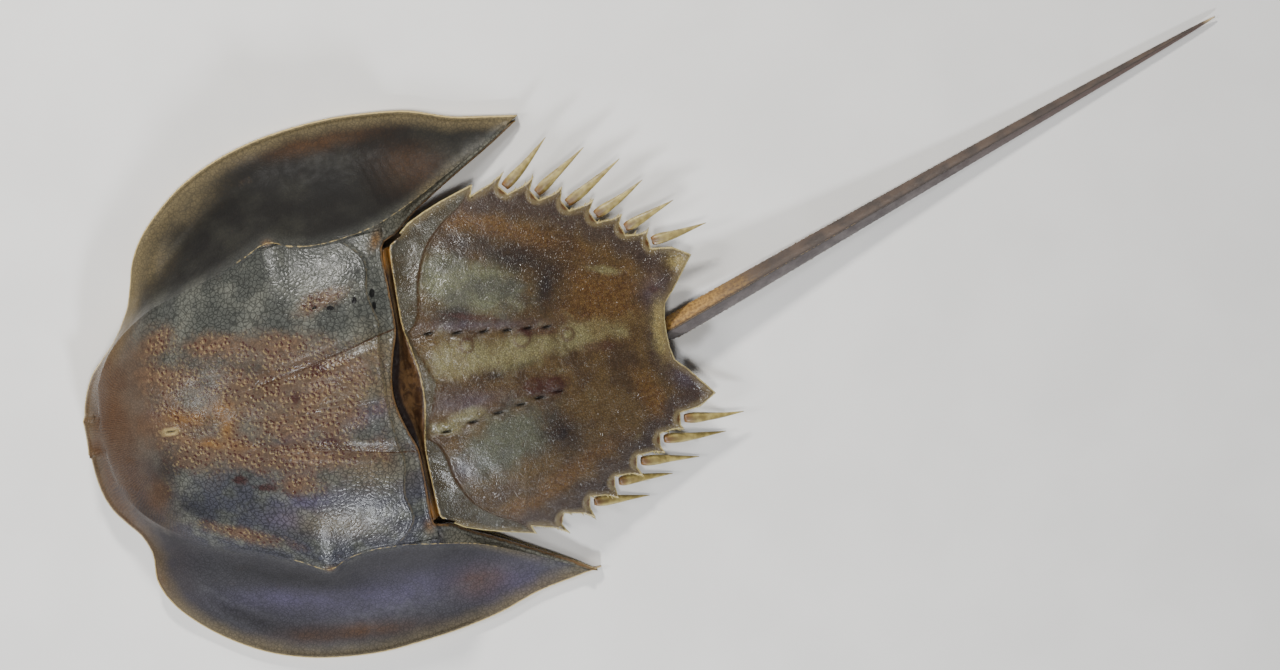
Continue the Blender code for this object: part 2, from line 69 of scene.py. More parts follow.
RIM_RIGHT = [(160.0, 78.8), (151.0, 80.2), (138.0, 82.4), (124.5, 86.8), (111.0, 88.5), (98.0, 89.0),
             (84.0, 88.0), (71.0, 85.8), (58.0, 81.8), (46.0, 75.8), (36.5, 68.4), (29.5, 61.0),
             (25.3, 53.5), (23.2, 46.3), (20.6, 38.6), (15.4, 30.2), (10.2, 24.6), (5.6, 19.6),
             (2.2, 12.6), (0.4, 4.5)]
RIM_LEFT = [(160.5, 76.2), (151.0, 78.0), (138.0, 80.6), (124.5, 85.2), (111.0, 88.2), (98.0, 90.0),
            (84.0, 91.2), (71.0, 90.6), (58.0, 88.5), (45.5, 84.4), (34.0, 78.0), (24.5, 70.4),
            (17.2, 61.8), (13.4, 52.8), (13.6, 43.6), (11.2, 36.6), (7.4, 31.4), (3.6, 25.6), (1.2, 18.6),
            (0.2, 9.0)]
CREASE = [(156.0, 76.4), (145.0, 70.4), (132.0, 63.6), (121.0, 58.2), (109.0, 53.8), (99.0, 51.8),
          (88.0, 51.0), (79.0, 52.2), (72.0, 54.6), (62.0, 50.0), (50.0, 45.4), (39.0, 42.0),
          (30.5, 39.0), (24.0, 35.4), (17.5, 30.6), (12.6, 25.2), (9.2, 19.4), (7.0, 13.4), (6.0, 6.4)]
REAR_EDGE = [(159.0, 77.2), (150.0, 71.4), (140.0, 65.6), (131.0, 60.4), (121.0, 54.4), (114.0, 49.2),
             (HINGE_X, HINGE_HALF_WIDTH), (HINGE_X, 33.0), (HINGE_X - 0.1, 20.5), (106.4, 13.0),
             (104.6, 6.0)]
REAR_MIDDLE = (104.0, 0.0)
CREST_HEIGHT = [(0.0, 11.0), (3.0, 15.0), (6.0, 18.4), (12.0, 23.6), (20.0, 29.4), (30.0, 35.2),
                (42.0, 40.6), (56.0, 44.6), (70.0, 47.0), (85.0, 48.0), (98.0, 47.2), (104.0, 45.6),
                (109.0, 43.6)]
CREASE_HEIGHT = [(5.0, 15.6), (12.0, 18.4), (18.0, 19.4), (25.0, 20.6), (34.0, 23.6), (46.0, 27.4),
                 (58.0, 30.4), (71.0, 32.4), (85.0, 32.2), (98.0, 31.0), (109.0, 28.0), (116.0, 21.0),
                 (124.0, 14.0), (133.0, 9.2), (145.0, 6.0), (160.0, 3.4)]
CREASE_HALF_WIDTH = CREASE[::-1]
FURROW = [(52.0, 8.6), (60.0, 9.8), (70.0, 11.8), (80.0, 14.0), (92.0, 16.8), (103.0, 19.4),
          (109.0, 20.4)]
FURROW_DEPTH = 1.5
FURROW_WIDTH = 2.4
BORDER = [(0.0, 101.4), (18.0, 102.6), (22.0, 103.4), (34.0, 101.4), (41.5, 102.6), (47.5, 99.6),
          (53.0, 92.0)]

OPIS_FRONT_EDGE = [(112.6, 46.8), (HINGE_X + HINGE_GAP + 0.4, 44.6), (HINGE_X + HINGE_GAP, 33.0),
                   (HINGE_X + HINGE_GAP, 20.5), (111.9, 12.0), (113.0, 5.0)]
OPIS_FRONT_MIDDLE = (113.2, 0.0)
OPIS_SHOULDER = [(114.8, 49.0), (118.2, 51.6), (123.6, 54.0), (129.6, 56.2), (135.6, 58.0)]
CORNER_TOOTH = [(141.2, 59.6), (139.9, 56.2)]
CORNER_TOOTH_BASE = (138.6, 57.4)
TOOTH_TIPS = [(152.2, 61.8), (161.5, 58.2), (170.3, 53.2), (179.9, 47.3), (188.3, 40.8), (195.9, 34.0)]
SOCKETS = [(151.1, 56.4), (161.1, 52.6), (170.5, 47.4), (179.0, 41.9), (187.9, 36.0), (195.8, 30.2)]
SOCKET_HALF_WIDTH = 2.1
SOCKET_DEPTH = 0.5
EMPTY_SOCKET_TURN = 20.0
TERMINAL_PROCESS = [(202.6, 27.2), (208.4, 23.6), (204.4, 18.4), (200.4, 13.4)]
REAR_LIP = [(196.8, 9.6), (195.8, 5.0)]
REAR_LIP_MIDDLE = (195.6, 0.0)
OPIS_CREST = [(110.0, 38.6), (118.0, 39.6), (128.0, 39.0), (140.0, 36.8), (155.0, 32.8), (170.0, 27.6),
              (182.0, 22.8), (192.0, 18.6), (198.0, 16.6), (209.0, 13.6)]
OPIS_MARGIN = [(110.0, 27.0), (116.0, 22.6), (124.0, 18.0), (132.0, 14.6), (141.0, 12.2), (151.0, 10.6),
               (165.0, 9.8), (180.0, 9.8), (192.0, 10.8), (209.0, 12.6)]
OPIS_HALF_WIDTH = [(110.0, 48.0), (116.0, 51.0), (124.0, 55.0), (132.0, 58.0), (141.0, 59.6),
                   (151.0, 58.4), (161.0, 54.6), (170.5, 49.4), (179.0, 43.9), (188.0, 38.0),
                   (196.0, 32.4), (209.0, 27.0)]
FACET_LINE = [(0.0, 118.2), (6.0, 116.0), (17.5, 112.0), (20.0, 114.6), (34.0, 118.4), (44.0, 123.2),
              (50.5, 130.4), (53.5, 135.2), (60.0, 141.0)]
PITS = [(118.4, 16.3), (127.6, 14.8), (136.2, 13.5), (143.8, 12.4), (150.3, 11.5), (156.7, 10.7)]
EYE_PLACE = (72.5, 54.6)
EYE_SIZE = (8.4, 4.6)
OCELLI_X = 30.3
RIGHT_SPINE_TURNS = [(40.2, 1.0), (33.6, 1.0), (30.0, 1.0), (26.4, 1.0), (19.5, 1.0), (8.0, 1.0)]
LEFT_SPINE_TURNS = [None, (7.5, 20.0), (5.5, 19.0), (9.3, 18.0), (5.9, 16.0), (6.1, 13.0)]
RIGHT_SPINE_SHARE = [1.04, 1.06, 1.11, 0.95, 0.9, 0.93]
LEFT_SPINE_SHARE = [None, 0.98, 0.95, 1.02, 1.08, 1.02]

# Round bosses on the middle lobe of the rear shield: (x, y, size)
BOSSES = [(130.0, 10.5, 2.2), (148.0, 9.0, 2.6), (149.0, -7.0, 2.2), (156.0, -8.5, 2.4),
          (163.0, 7.0, 2.0)]

# Fine grids
PROSOMA_COLUMNS = [20, 36, 46, 46, 44]
PROSOMA_INNER_ROWS = 118
PROSOMA_BRIM_ROWS = 62
OPIS_INNER_ROWS = 96
OPIS_TOOTH_ROWS = 12
OPIS_EDGE_STEPS = 7
INSIDE_ROW_STEP = 4

# Soft lamps: name, place and size in plan millimetres, power, colour
LAMP_AIM = (90.0, 0.0, 20.0)
LAMPS = [("right_softbox", (70.0, 690.0, 490.0), (110.0, 80.0), 8.4, (1.0, 0.98, 0.94)),
         ("left_softbox", (70.0, -740.0, 440.0), (110.0, 80.0), 7.2, (0.93, 0.96, 1.0)),
         ("front_softbox", (-420.0, 60.0, 520.0), (130.0, 170.0), 2.4, (1.0, 1.0, 1.0)),
         ("top_softbox", (60.0, -70.0, 1000.0), (130.0, 130.0), 5.2, (1.0, 0.99, 0.97))]
WORLD_STRENGTH = 0.10
FLOOR_SIZE = 6.0
FRONT_GLOSS = 0.125
REAR_GLOSS = 0.26
TAIL_HAIRS = 1500

# Camera, from matching named points of the shell to the photograph
CAMERA_PLACE = (146.4, 150.8, 1185.3)
CAMERA_TURN = (-6.849, -3.241, -10.171)
CAMERA_LENS = 100.0
SENSOR_WIDTH = 36.0


def through(table, x):
    """Height of the smooth curve through a table's points at x, flat past its ends and without overshoot."""
    xs, ys = (np.array(column, float) for column in zip(*table))
    x = np.clip(np.asarray(x, float), xs[0], xs[-1])
    step = np.diff(xs)
    slope = np.diff(ys) / step
    tangent = np.concatenate([slope[:1], (slope[1:] + slope[:-1]) / 2, slope[-1:]])
    turning = slope[1:] * slope[:-1] <= 0
    tangent[1:-1][turning] = 0.0
    limit = 2.5 * np.minimum(np.abs(np.append(slope, slope[-1])), np.abs(np.insert(slope, 0, slope[0])))
    tangent = np.clip(tangent, -limit, limit)
    i = np.clip(np.searchsorted(xs, x, side="right") - 1, 0, len(step) - 1)
    t = (x - xs[i]) / step[i]
    h = step[i]
    return (ys[i] * (1 + 2 * t) * (1 - t) ** 2 + tangent[i] * h * t * (1 - t) ** 2
            + ys[i + 1] * t * t * (3 - 2 * t) + tangent[i + 1] * h * t * t * (t - 1))


def smooth(low, high, value):
    """0 below low, 1 above high, and a smooth rise between."""
    t = np.clip((value - low) / (high - low), 0.0, 1.0)
    return t * t * (3 - 2 * t)


def bell(value, width, power=2):
    """1 where the value is 0, fading out over the given width."""
    return np.exp(-((value / width) ** power))


def rounded(points, per_span=SPAN):
    """Points on the smooth curve through the given ones, with per_span points for each span."""
    pts = np.array(points, float)
    ends = np.vstack([2 * pts[0] - pts[1], pts, 2 * pts[-1] - pts[-2]])
    t = np.linspace(0, 1, per_span, endpoint=False)[:, None]
    spans = []
    for a, b, c, d in zip(ends[:-3], ends[1:-2], ends[2:-1], ends[3:]):
        spans.append(0.5 * (2 * b + (c - a) * t + (2 * a - 5 * b + 4 * c - d) * t ** 2
                            + (3 * b - a - 3 * c + d) * t ** 3))
    return np.vstack(spans + [pts[-1:]])


def run_length(line):
    """How far along a line each of its points lies."""
    return np.concatenate([[0], np.cumsum(np.linalg.norm(np.diff(line, axis=0), axis=1))])


def along(curve, start, end, count):
    """count evenly spaced points on a curve, from its point start up to its point end but without it."""
    part = curve[start:end + 1]
    length = run_length(part)
    want = np.linspace(0, length[-1], count, endpoint=False)
    return np.stack([np.interp(want, length, part[:, k]) for k in (0, 1)], axis=1)


def nearest(points, curve):
    """Distance from each point to a curve, and the nearest point on it."""
    start, end = curve[:-1], curve[1:]
    best = np.full(len(points), np.inf)
    foot = np.zeros((len(points), 2))
    for a, b in zip(start, end):
        d = b - a
        t = np.clip(((points - a) @ d) / max(d @ d, 1e-12), 0, 1)
        near = a + t[:, None] * d
        away = np.hypot(points[:, 0] - near[:, 0], points[:, 1] - near[:, 1])
        closer = away < best
        best[closer] = away[closer]
        foot[closer] = near[closer]
    return best, foot


def mirrored(points):
    return [(x, -y) for x, y in points]


def full_curve(right, middle, left):
    """The smooth curve from the right end through the middle to the left end, all in plan."""
    points = right + ([middle] if middle else []) + mirrored(left)[::-1]
    return rounded(points)


RIM = full_curve(RIM_RIGHT, None, RIM_LEFT)
CREASE_LINE = full_curve(CREASE, (5.8, 0.0), CREASE)
RIM_ROUGH = RIM[::3]
CREASE_ROUGH = CREASE_LINE[::3]
REAR_ROUGH = full_curve(REAR_EDGE, REAR_MIDDLE, REAR_EDGE)[::3]

# Where each colour lies: (x, y, half-length, half-width, turn in degrees), in plan
FRONT_PATCHES = {
    "warm": [(28, 3, 14.0, 9.0, -10), (31, 17, 12.0, 5.3, -10), (62, 10, 22.0, 8.0, -2),
             (85, 11, 24.0, 8.0, 2), (72, 22, 12.0, 5.0, -10), (75, -3, 26.0, 7.0, 0),
             (77, -15, 27.0, 5.6, -8), (55, -11, 12.7, 4.7, -18), (37, -10, 8.7, 5.3, -10),
             (86, 34, 10.0, 3.0, 14), (50, 25, 16.0, 4.3, -6), (22, -21, 4.7, 7.3, -30),
             (46, -38, 17.3, 3.0, -22), (69, -24, 9.3, 4.0, -10), (29, 28, 4.0, 8.7, -60)],
    # Khaki patches next: the shell's own khaki, except the two at (127, ±61) on the strips beside the hinge,
    # which are partly painted highlight
    "khaki": [(101, 15, 6.7, 6.7, -10), (93, -23, 13.3, 7.3, -10), (89, 3, 15.0, 3.3, 2),
              (32, 53, 4.7, 10.0, -40), (48, 69, 12.7, 4.0, 32), (77, -39, 15.0, 4.7, -16),
              (103, 0, 2.4, 13.0, 0), (127, 61, 15.0, 1.8, 30), (127, -61, 15.0, 1.8, -30)],
    "rust": [(121, 69, 10.7, 6.7, -10), (94, 82, 20.0, 3.0, 2), (73, -82, 25.0, 3.0, -6),
             (119, -73, 8.7, 5.3, 0), (41, 3, 8.7, 2.7, 0), (12, 8, 5.3, 15.3, -10)],
    "amber": [(50, 5, 4.3, 2.2, -10), (49, -1, 2.2, 6.0, -10), (38, 4, 8.0, 2.6, -4),
              (44, -6, 9.3, 1.6, -14), (107, 49, 1.6, 3.0, -30), (107, -47, 1.6, 2.4, -10),
              (72.4, 54.6, 1.5, 0.9, 0), (72.4, -54.6, 1.5, 0.9, 0)],
    # Painted sheen: the lilac patches next stand for the shell's blue-purple shimmer
    "violet_sheen": [(69, -8, 6.7, 1.7, 14), (69, -30, 9.3, 3.3, 0), (62, -35, 6.0, 3.0, -10),
               (92, -71, 28.3, 6.7, 0), (129, -75, 18.3, 6.7, -6), (26, 6, 3.0, 2.0, -10),
               (96, -4, 8.7, 3.0, 10), (56, -66, 20.0, 4.0, -10)],
    "maroon": [(50, -19, 3.0, 2.0, -10), (58, -23, 4.3, 1.3, -10), (81, -11, 3.3, 1.7, -10),
               (82, 13, 3.0, 2.0, -10), (73, 5, 2.3, 2.3, -10)],
    # Dark patches next: painted shade in the hollows of the brim and beside the crease, and some dark spots
    # of the shell
    "dark": [(109, 69, 16.0, 7.3, -2), (58, -57, 28.3, 4.3, -18), (17, -29, 12.0, 4.0, -58),
             (26, -14, 5.3, 8.0, -10), (31, -27, 8.0, 4.0, -30), (45, 14, 3.3, 1.7, -10),
             (62, 16, 6.0, 2.0, -10)],
    "spots": [(89, 31, 1.3, 0.8, -10), (97, 32, 0.9, 1.2, -10), (103, 33, 0.9, 1.5, -10),
              (103, 29, 0.7, 1.3, -10), (84, 32, 0.7, 0.7, -10)],
}
REAR_PATCHES = {
    "sage": [(137, 27, 17.0, 9.0, -16), (136, -24, 18.0, 10.0, 24), (126, 34, 6.0, 7.0, -10)],
    "dark": [(136, 41, 15.0, 4.5, -14), (150, 34, 10.0, 5.0, -30), (128, 20.5, 9.0, 3.4, -16),
             (159, 24, 5.0, 9.0, -24), (137, -1, 3.7, 2.0, -10), (156, -26, 6.0, 9.0, 34),
             (193, 33, 13.3, 3.3, -40), (184, -35, 10.0, 3.3, 34), (164, -49, 16.7, 2.7, 28),
             (146, 1, 6.7, 1.3, 0)],
    "rust": [(150, 43, 22.0, 4.0, -26), (176, 16, 15.3, 13.3, -10), (156, -40, 24.0, 4.3, 28),
             (134, 51, 5.3, 3.3, 34), (137, -48, 4.7, 3.0, 10), (188, -22, 4.0, 13.3, 20)],
    "gold": [(126, 7, 13.0, 6.4, -10), (147, 5, 10.0, 6.0, -10), (169, 6, 15.0, 4.7, -2),
             (178, 25, 6.0, 1.7, -18), (194, 2, 2.6, 10.0, -4), (204, 22, 4.0, 3.0, -10),
             (118, -15, 5.3, 2.7, 0), (127, -12, 6.7, 2.3, 4)],
    # Painted sheen: the lilac patches next stand for the shell's blue-purple shimmer
    "violet_sheen": [(122, -30, 6.0, 4.7, 30), (135, 16, 20.0, 1.7, -10), (193, 15, 4.7, 5.3, -10),
               (200, -15, 4.7, 4.7, -10), (128, -8, 11.3, 3.3, -6)],
    "maroon": [(153, -8, 8.0, 3.7, 0), (154, 10, 7.3, 1.7, -10), (194, 15, 1.7, 1.3, -10),
               (133, 19, 10.0, 1.3, -16), (172, 1, 6.7, 2.0, -10)],
}


def blob(x, y, centre, size, turn=0.0):
    """A soft spot: 1 at its centre and fading out over its two half-sizes, turned by some degrees."""
    c, s = math.cos(math.radians(turn)), math.sin(math.radians(turn))
    dx, dy = x - centre[0], y - centre[1]
    u, v = (dx * c + dy * s) / size[0], (-dx * s + dy * c) / size[1]
    return np.exp(-(u * u + v * v))


def ripple(x, y, wavelength, seed, waves=14):
    """A smooth random field of about -1 to 1 whose lumps have the given size."""
    draw = random.Random(seed)
    total = np.zeros_like(x)
    for _ in range(waves):
        angle = draw.uniform(0, 2 * math.pi)
        number = 2 * math.pi / (wavelength * draw.uniform(0.7, 1.5))
        phase = draw.uniform(0, 2 * math.pi)
        total += np.sin(number * (x * math.cos(angle) + y * math.sin(angle)) + phase)
    return total / math.sqrt(waves)


# Heights of the front shield

def arch(x):
    return ARCH_HEIGHT * (1 - smooth(0.0, ARCH_END_X, x)) ** 1.4


def furrow_cut(x, y):
    away = np.abs(np.abs(y) - through(FURROW, x))
    fade = smooth(48.0, 62.0, x)
    return FURROW_DEPTH * fade * np.exp(-((away / FURROW_WIDTH) ** 2))


def dome_height(x, y):
    crest = through(CREST_HEIGHT, x)
    edge = through(CREASE_HEIGHT, x)
    across = np.clip(np.abs(y) / through(CREASE_HALF_WIDTH, x), 0, 1.3)
    return edge + (crest - edge) * (1 - across ** 2.3) - furrow_cut(x, y)


def prosoma_base(x, y, to_rim, to_crease, foot):
    """Height of the front shield's outer surface before its fine relief."""
    rim_top = BRIM_TOP + arch(x)
    outside = np.abs(y) > through(CREASE_HALF_WIDTH, x)
    share = to_crease / np.maximum(to_crease + to_rim, 1e-6)
    front = 1 - smooth(20.0, 50.0, x)
    power = 2.2 - 1.15 * front
    base = dome_height(foot[:, 0], foot[:, 1])
    slope = rim_top + (base - rim_top) * (1 - share) ** power
    behind = x > HINGE_X + 0.5
    inner_strip = through(CREASE_HEIGHT, x) - 0.45 * to_crease * smooth(HINGE_X, 118.0, x)
    dome = np.where(behind, np.maximum(inner_strip, rim_top), dome_height(x, y))
    return np.where(outside, slope, dome)


def border_line(y):
    """x of the step in front of the front shield's rear border strip."""
    return through(BORDER, np.abs(y))


def prosoma_relief(x, y, to_rim, to_crease, foot, to_rear):
    """Ridges, grooves, eyes and lumps of the front shield, added to its base height."""
    side = np.abs(y)
    ridge_on = smooth(40.0, 60.0, foot[:, 0]) * (1 - smooth(128.0, 146.0, foot[:, 0]))
    z = 0.5 * bell(to_crease, 0.6) * ridge_on
    furrow = side - through(FURROW, x)
    grown = smooth(54.0, 66.0, x)
    z -= 0.4 * bell(furrow, 0.45) * grown
    z += 0.8 * bell(y, 4.5) * smooth(34.0, 60.0, x) + 0.35 * bell(y, 0.9) * grown
    on_dome = (side < 52.0) & (x < 110.0)
    strip = x - border_line(y)
    z += np.where(on_dome, 0.35 * bell(strip + 0.5, 0.7) - 0.8 * smooth(-0.5, 0.9, strip), 0.0)
    z += 0.45 * bell(to_rear - 0.8, 0.6)
    z += 0.5 * bell(to_rear - 1.6, 1.0) * bell(y, 11.0) * on_dome
    eye_x = (x - EYE_PLACE[0]) / (EYE_SIZE[0] / 2)
    eye_y = (side - EYE_PLACE[1] - 0.8) / (EYE_SIZE[1] / 2)
    z += 1.2 * np.sqrt(np.clip(1 - (eye_x ** 2 + eye_y ** 2), 0, 1))
    slot = ((x - OCELLI_X) / 3.4) ** 2 + (y / 1.3) ** 2
    z += 0.9 * np.exp(-slot) - 1.0 * np.exp(-((x - OCELLI_X) / 2.2) ** 4 - (y / 0.5) ** 2)
    z += 0.45 * bell(to_rim - 0.7, 0.7)
    swell = bell(to_rim - 6.5, 3.6) * smooth(22.0, 34.0, x) * (1 - smooth(60.0, 90.0, x))
    z += 1.3 * swell
    valley = bell(to_rim - 12.5, 3.0) * smooth(22.0, 34.0, x) * (1 - smooth(54.0, 74.0, x))
    z -= 0.9 * valley
    calm = smooth(1.0, 6.0, to_rim)
    lumps = 0.05 + 0.12 * smooth(30.0, 0.0, side) * smooth(20.0, 50.0, x)
    z += calm * (lumps * ripple(x, y, 9.0, 3) + 0.012 * ripple(x, y, 3.2, 4))
    return z


# Turning grids into meshes

def mesh_from(name, vertices, faces):
    """A smooth mesh object from places in plan millimetres."""
    mesh = bpy.data.meshes.new(name)
    placed = (np.asarray(vertices, float) - (PLAN_SHIFT, 0.0, 0.0)) * MM
    mesh.from_pydata(placed.tolist(), [], faces)
    mesh.update()
    mesh.shade_smooth()
    thing = bpy.data.objects.new(name, mesh)
    bpy.context.scene.collection.objects.link(thing)
    return thing


def attribute(thing, name, values):
    """A point attribute for the material, from one number per vertex."""
    layer = thing.data.attributes.new(name, "FLOAT", "POINT")
    layer.data.foreach_set("value", np.asarray(values, np.float32))


def two_sided(plan, top, bottom, step):
    """A closed surface between two height grids, the lower one with only every step-th row."""
    columns, rows = plan.shape[:2]
    kept = list(range(0, rows - 1, step)) + [rows - 1]
    upper = np.dstack([plan, top]).reshape(-1, 3)
    lower = np.dstack([plan[:, kept], bottom[:, kept]]).reshape(-1, 3)
    count, low_rows = columns * rows, len(kept)
    c, r = np.meshgrid(np.arange(columns - 1), np.arange(rows - 1), indexing="ij")
    a = (c * rows + r).ravel()
    faces = np.stack([a, a + rows, a + rows + 1, a + 1], axis=1).tolist()
    c, r = np.meshgrid(np.arange(columns - 1), np.arange(low_rows - 1), indexing="ij")
    a = (count + c * low_rows + r).ravel()
    faces += np.stack([a + 1, a + low_rows + 1, a + low_rows, a], axis=1).tolist()
    for c in range(columns - 1):
        a, b = c * rows, (c + 1) * rows
        low_a, low_b = count + c * low_rows, count + (c + 1) * low_rows
        faces.append((b, a, low_a, low_b))
        faces.append((a + rows - 1, b + rows - 1, low_b + low_rows - 1, low_a + low_rows - 1))
    for column, turned in ((0, False), (columns - 1, True)):
        for j in range(low_rows - 1):
            loop = [column * rows + i for i in range(kept[j], kept[j + 1] + 1)]
            loop += [count + column * low_rows + j + 1, count + column * low_rows + j]
            faces.append(tuple(loop[::-1]) if turned else tuple(loop))
    return np.vstack([upper, lower]), faces, kept


def tell(thing, shape, kept, values):
    """Write attributes given for the upper grid on the upper side and, row by kept row, on the lower one."""
    for name, upper in values.items():
        lower = upper.reshape(shape)[:, kept].ravel()
        attribute(thing, name, np.concatenate([upper, lower]))
    inside = np.concatenate([np.zeros(shape[0] * shape[1]), np.ones(shape[0] * len(kept))])
    attribute(thing, "inside", inside)


def shares(count, crowding):
    """Steps from 0 to 1 that lie closer together near both ends."""
    u = np.linspace(0, 1, count + 1)
    return u - crowding * np.sin(2 * math.pi * u) / (2 * math.pi)


def prosoma_plan():
    """The front shield's plan grid: columns run from the rear edge over the crease to the rim."""
    rim_marks = [0, 3, 4.6, 7, 13.6, 19.5]
    crease_marks = [0, 2.4, 4, 8, 13, 19]
    rear_marks = [0, 3.2, 6, 7.4, 9.2, 11]
    rear = full_curve(REAR_EDGE, REAR_MIDDLE, REAR_EDGE)
    sides = []
    for mirror in (1, -1):
        lines = []
        for curve, marks in ((RIM, rim_marks), (CREASE_LINE, crease_marks), (rear, rear_marks)):
            part = curve if mirror == 1 else curve[::-1]
            pieces = [along(part, round(SPAN * a), round(SPAN * b), n)
                      for a, b, n in zip(marks[:-1], marks[1:], PROSOMA_COLUMNS)]
            lines.append(np.vstack(pieces))
        sides.append(lines)
    middle = [RIM[round(SPAN * rim_marks[-1])], CREASE_LINE[SPAN * crease_marks[-1]],
              rear[SPAN * rear_marks[-1]]]
    rim, crease, back = (np.vstack([right, m[None], left[::-1]])
                         for right, m, left in zip(sides[0], middle, sides[1]))
    inner = shares(PROSOMA_INNER_ROWS, 0.5)[None, :, None]
    outer = shares(PROSOMA_BRIM_ROWS, 0.6)[None, 1:, None]
    return np.concatenate([back[:, None] * (1 - inner) + crease[:, None] * inner,
                           crease[:, None] * (1 - outer) + rim[:, None] * outer], axis=1)


def steepness(plan, top):
    """How much longer an upright line through a wall is than the wall's thickness, over a grid."""
    surface = np.dstack([plan, top])
    normal = np.cross(np.gradient(surface, axis=0), np.gradient(surface, axis=1))
    length = np.linalg.norm(normal, axis=2)
    return np.clip(length / np.maximum(np.abs(normal[:, :, 2]), 1e-9), 1.0, 2.2)


def patch_values(x, y, table):
    """How strongly each kind of patch covers each point, from 0 to 1."""
    values = {}
    for name, places in table.items():
        bare = np.ones_like(x)
        for px, py, length, width, turn in places:
            bare = bare * (1 - blob(x, y, (px, py), (length, width), turn))
        values[name] = 1 - bare
    return values


def make_front_shield():
    plan = prosoma_plan()
    shape = plan.shape[:2]
    flat = plan.reshape(-1, 2)
    x, y = flat[:, 0], flat[:, 1]
    side = np.abs(y)
    to_rim, _ = nearest(flat, RIM_ROUGH)
    to_crease, foot = nearest(flat, CREASE_ROUGH)
    to_rear, _ = nearest(flat, REAR_ROUGH)
    base = prosoma_base(x, y, to_rim, to_crease, foot)
    top = base + prosoma_relief(x, y, to_rim, to_crease, foot, to_rear)
    inside = base - WALL * steepness(plan, base.reshape(shape)).ravel()
    floor = arch(x)
    flat_band = (to_rim < BRIM_BAND) | (inside - floor < WALL)
    bottom = np.where(flat_band, floor, inside)
    top = np.maximum(top, bottom + 0.5)
    vertices, faces, kept = two_sided(plan, top.reshape(shape), bottom.reshape(shape), INSIDE_ROW_STEP)
    thing = mesh_from("front_shield", vertices, faces)
    outside = np.where(side > through(CREASE_HALF_WIDTH, x), to_crease, -to_crease)
    ridge_off = 4.0 * (1 - smooth(44.0, 62.0, foot[:, 0])) + 4.0 * smooth(128.0, 140.0, foot[:, 0])
    strip = np.where((side < 52.0) & (x < 110.0), np.abs(x - border_line(y)), FAR_AWAY)
    values = patch_values(x, y, FRONT_PATCHES)
    values["brim"] = smooth(-3.0, 4.0, outside) * smooth(2.0, 26.0, x)
    values["to_rim"] = to_rim
    values["to_crease"] = to_crease + ridge_off
    values["to_furrow"] = np.abs(side - through(FURROW, x)) + 4.0 * (1 - smooth(54.0, 62.0, x))
    values["to_border"] = strip
    values["to_rear"] = to_rear
    values["front"] = 1 - smooth(10.0, 34.0, x)
    values["around"] = 26.0 * np.arctan2(y, np.maximum(34.0 - x, 0.5))
    values["low_side"] = smooth(4.0, -30.0, y)
    # The strips between the crease and the rear edge beside the hinge, drawn paler in the skin as partly
    # painted highlight
    values["corner_strip_highlight"] = smooth(HINGE_X, 113.0, x) * smooth(0.3, -0.6, outside)
    values["slit_lip"] = np.exp(-((x - OCELLI_X) / 2.7) ** 4 - (y / 1.0) ** 4)
    # The notch at the ocelli, drawn dark as painted shade
    values["slit"] = np.exp(-((x - OCELLI_X) / 2.0) ** 4 - (y / 0.5) ** 4)
    tell(thing, shape, kept, values)
    return thing


# Heights of the rear shield

def opis_base(x, y):
    crest = through(OPIS_CREST, x)
    margin = through(OPIS_MARGIN, x)
    across = np.clip(np.abs(y) / through(OPIS_HALF_WIDTH, x), 0, 1)
    height = margin + (crest - margin) * (1 - across ** 2.3) ** 1.15
    groove = np.exp(-(((np.abs(y) - through(PITS, x)) / 2.4) ** 2)) * (1 - smooth(150.0, 172.0, x))
    facet = 1 - smooth(-0.5, 0.7, x - through(FACET_LINE, np.abs(y)))
    return height - 0.8 * groove - 1.3 * facet


def spine_direction(turn):
    return np.array([math.cos(math.radians(turn)), math.sin(math.radians(turn))])


def toothed_margin(turns):
    """One side's margin from the hinge corner to the lip: each outer point with the body point inside it."""
    outer, inner = [], []

    def add(point, depth, base=None):
        centre = np.array([150.0, 0.0])
        base = np.array(point if base is None else base, float)
        outer.append(np.array(point, float))
        inner.append(base + depth * (centre - base) / np.linalg.norm(centre - base))

    for point in OPIS_SHOULDER:
        add(point, 1.6)
    add(CORNER_TOOTH[0], 1.8, CORNER_TOOTH_BASE)
    add(CORNER_TOOTH[1], 1.6)
    previous = np.array(CORNER_TOOTH[1], float)
    for tip, socket, turn in zip(TOOTH_TIPS, SOCKETS, turns):
        forward = spine_direction(turn[0] if turn else EMPTY_SOCKET_TURN)
        out = np.array([-forward[1], forward[0]])
        floor = np.array(socket) - SOCKET_DEPTH * forward
        foot = floor + SOCKET_HALF_WIDTH * out
        tip = np.array(tip, float)
        add(previous * 0.42 + tip * 0.58 - 0.7 * out, 1.5, previous * 0.62 + foot * 0.38)
        add(tip, 1.5, previous * 0.22 + foot * 0.78)
        add(foot, 1.5)
        add(floor - SOCKET_HALF_WIDTH * out, 1.5)
        previous = outer[-1]
    add(TERMINAL_PROCESS[0], 3.0)
    add(TERMINAL_PROCESS[1], 7.0)
    add(TERMINAL_PROCESS[2], 4.0)
    add(TERMINAL_PROCESS[3], 2.6)
    for point in REAR_LIP:
        add(point, 2.0)
    return np.array(outer), np.array(inner)


def finer(points, steps):
    """Points in even steps along straight pieces between the given ones."""
    t = np.linspace(0, 1, steps, endpoint=False)[:, None]
    pieces = [a + (b - a) * t for a, b in zip(points[:-1], points[1:])]
    return np.vstack(pieces + [points[-1:]])


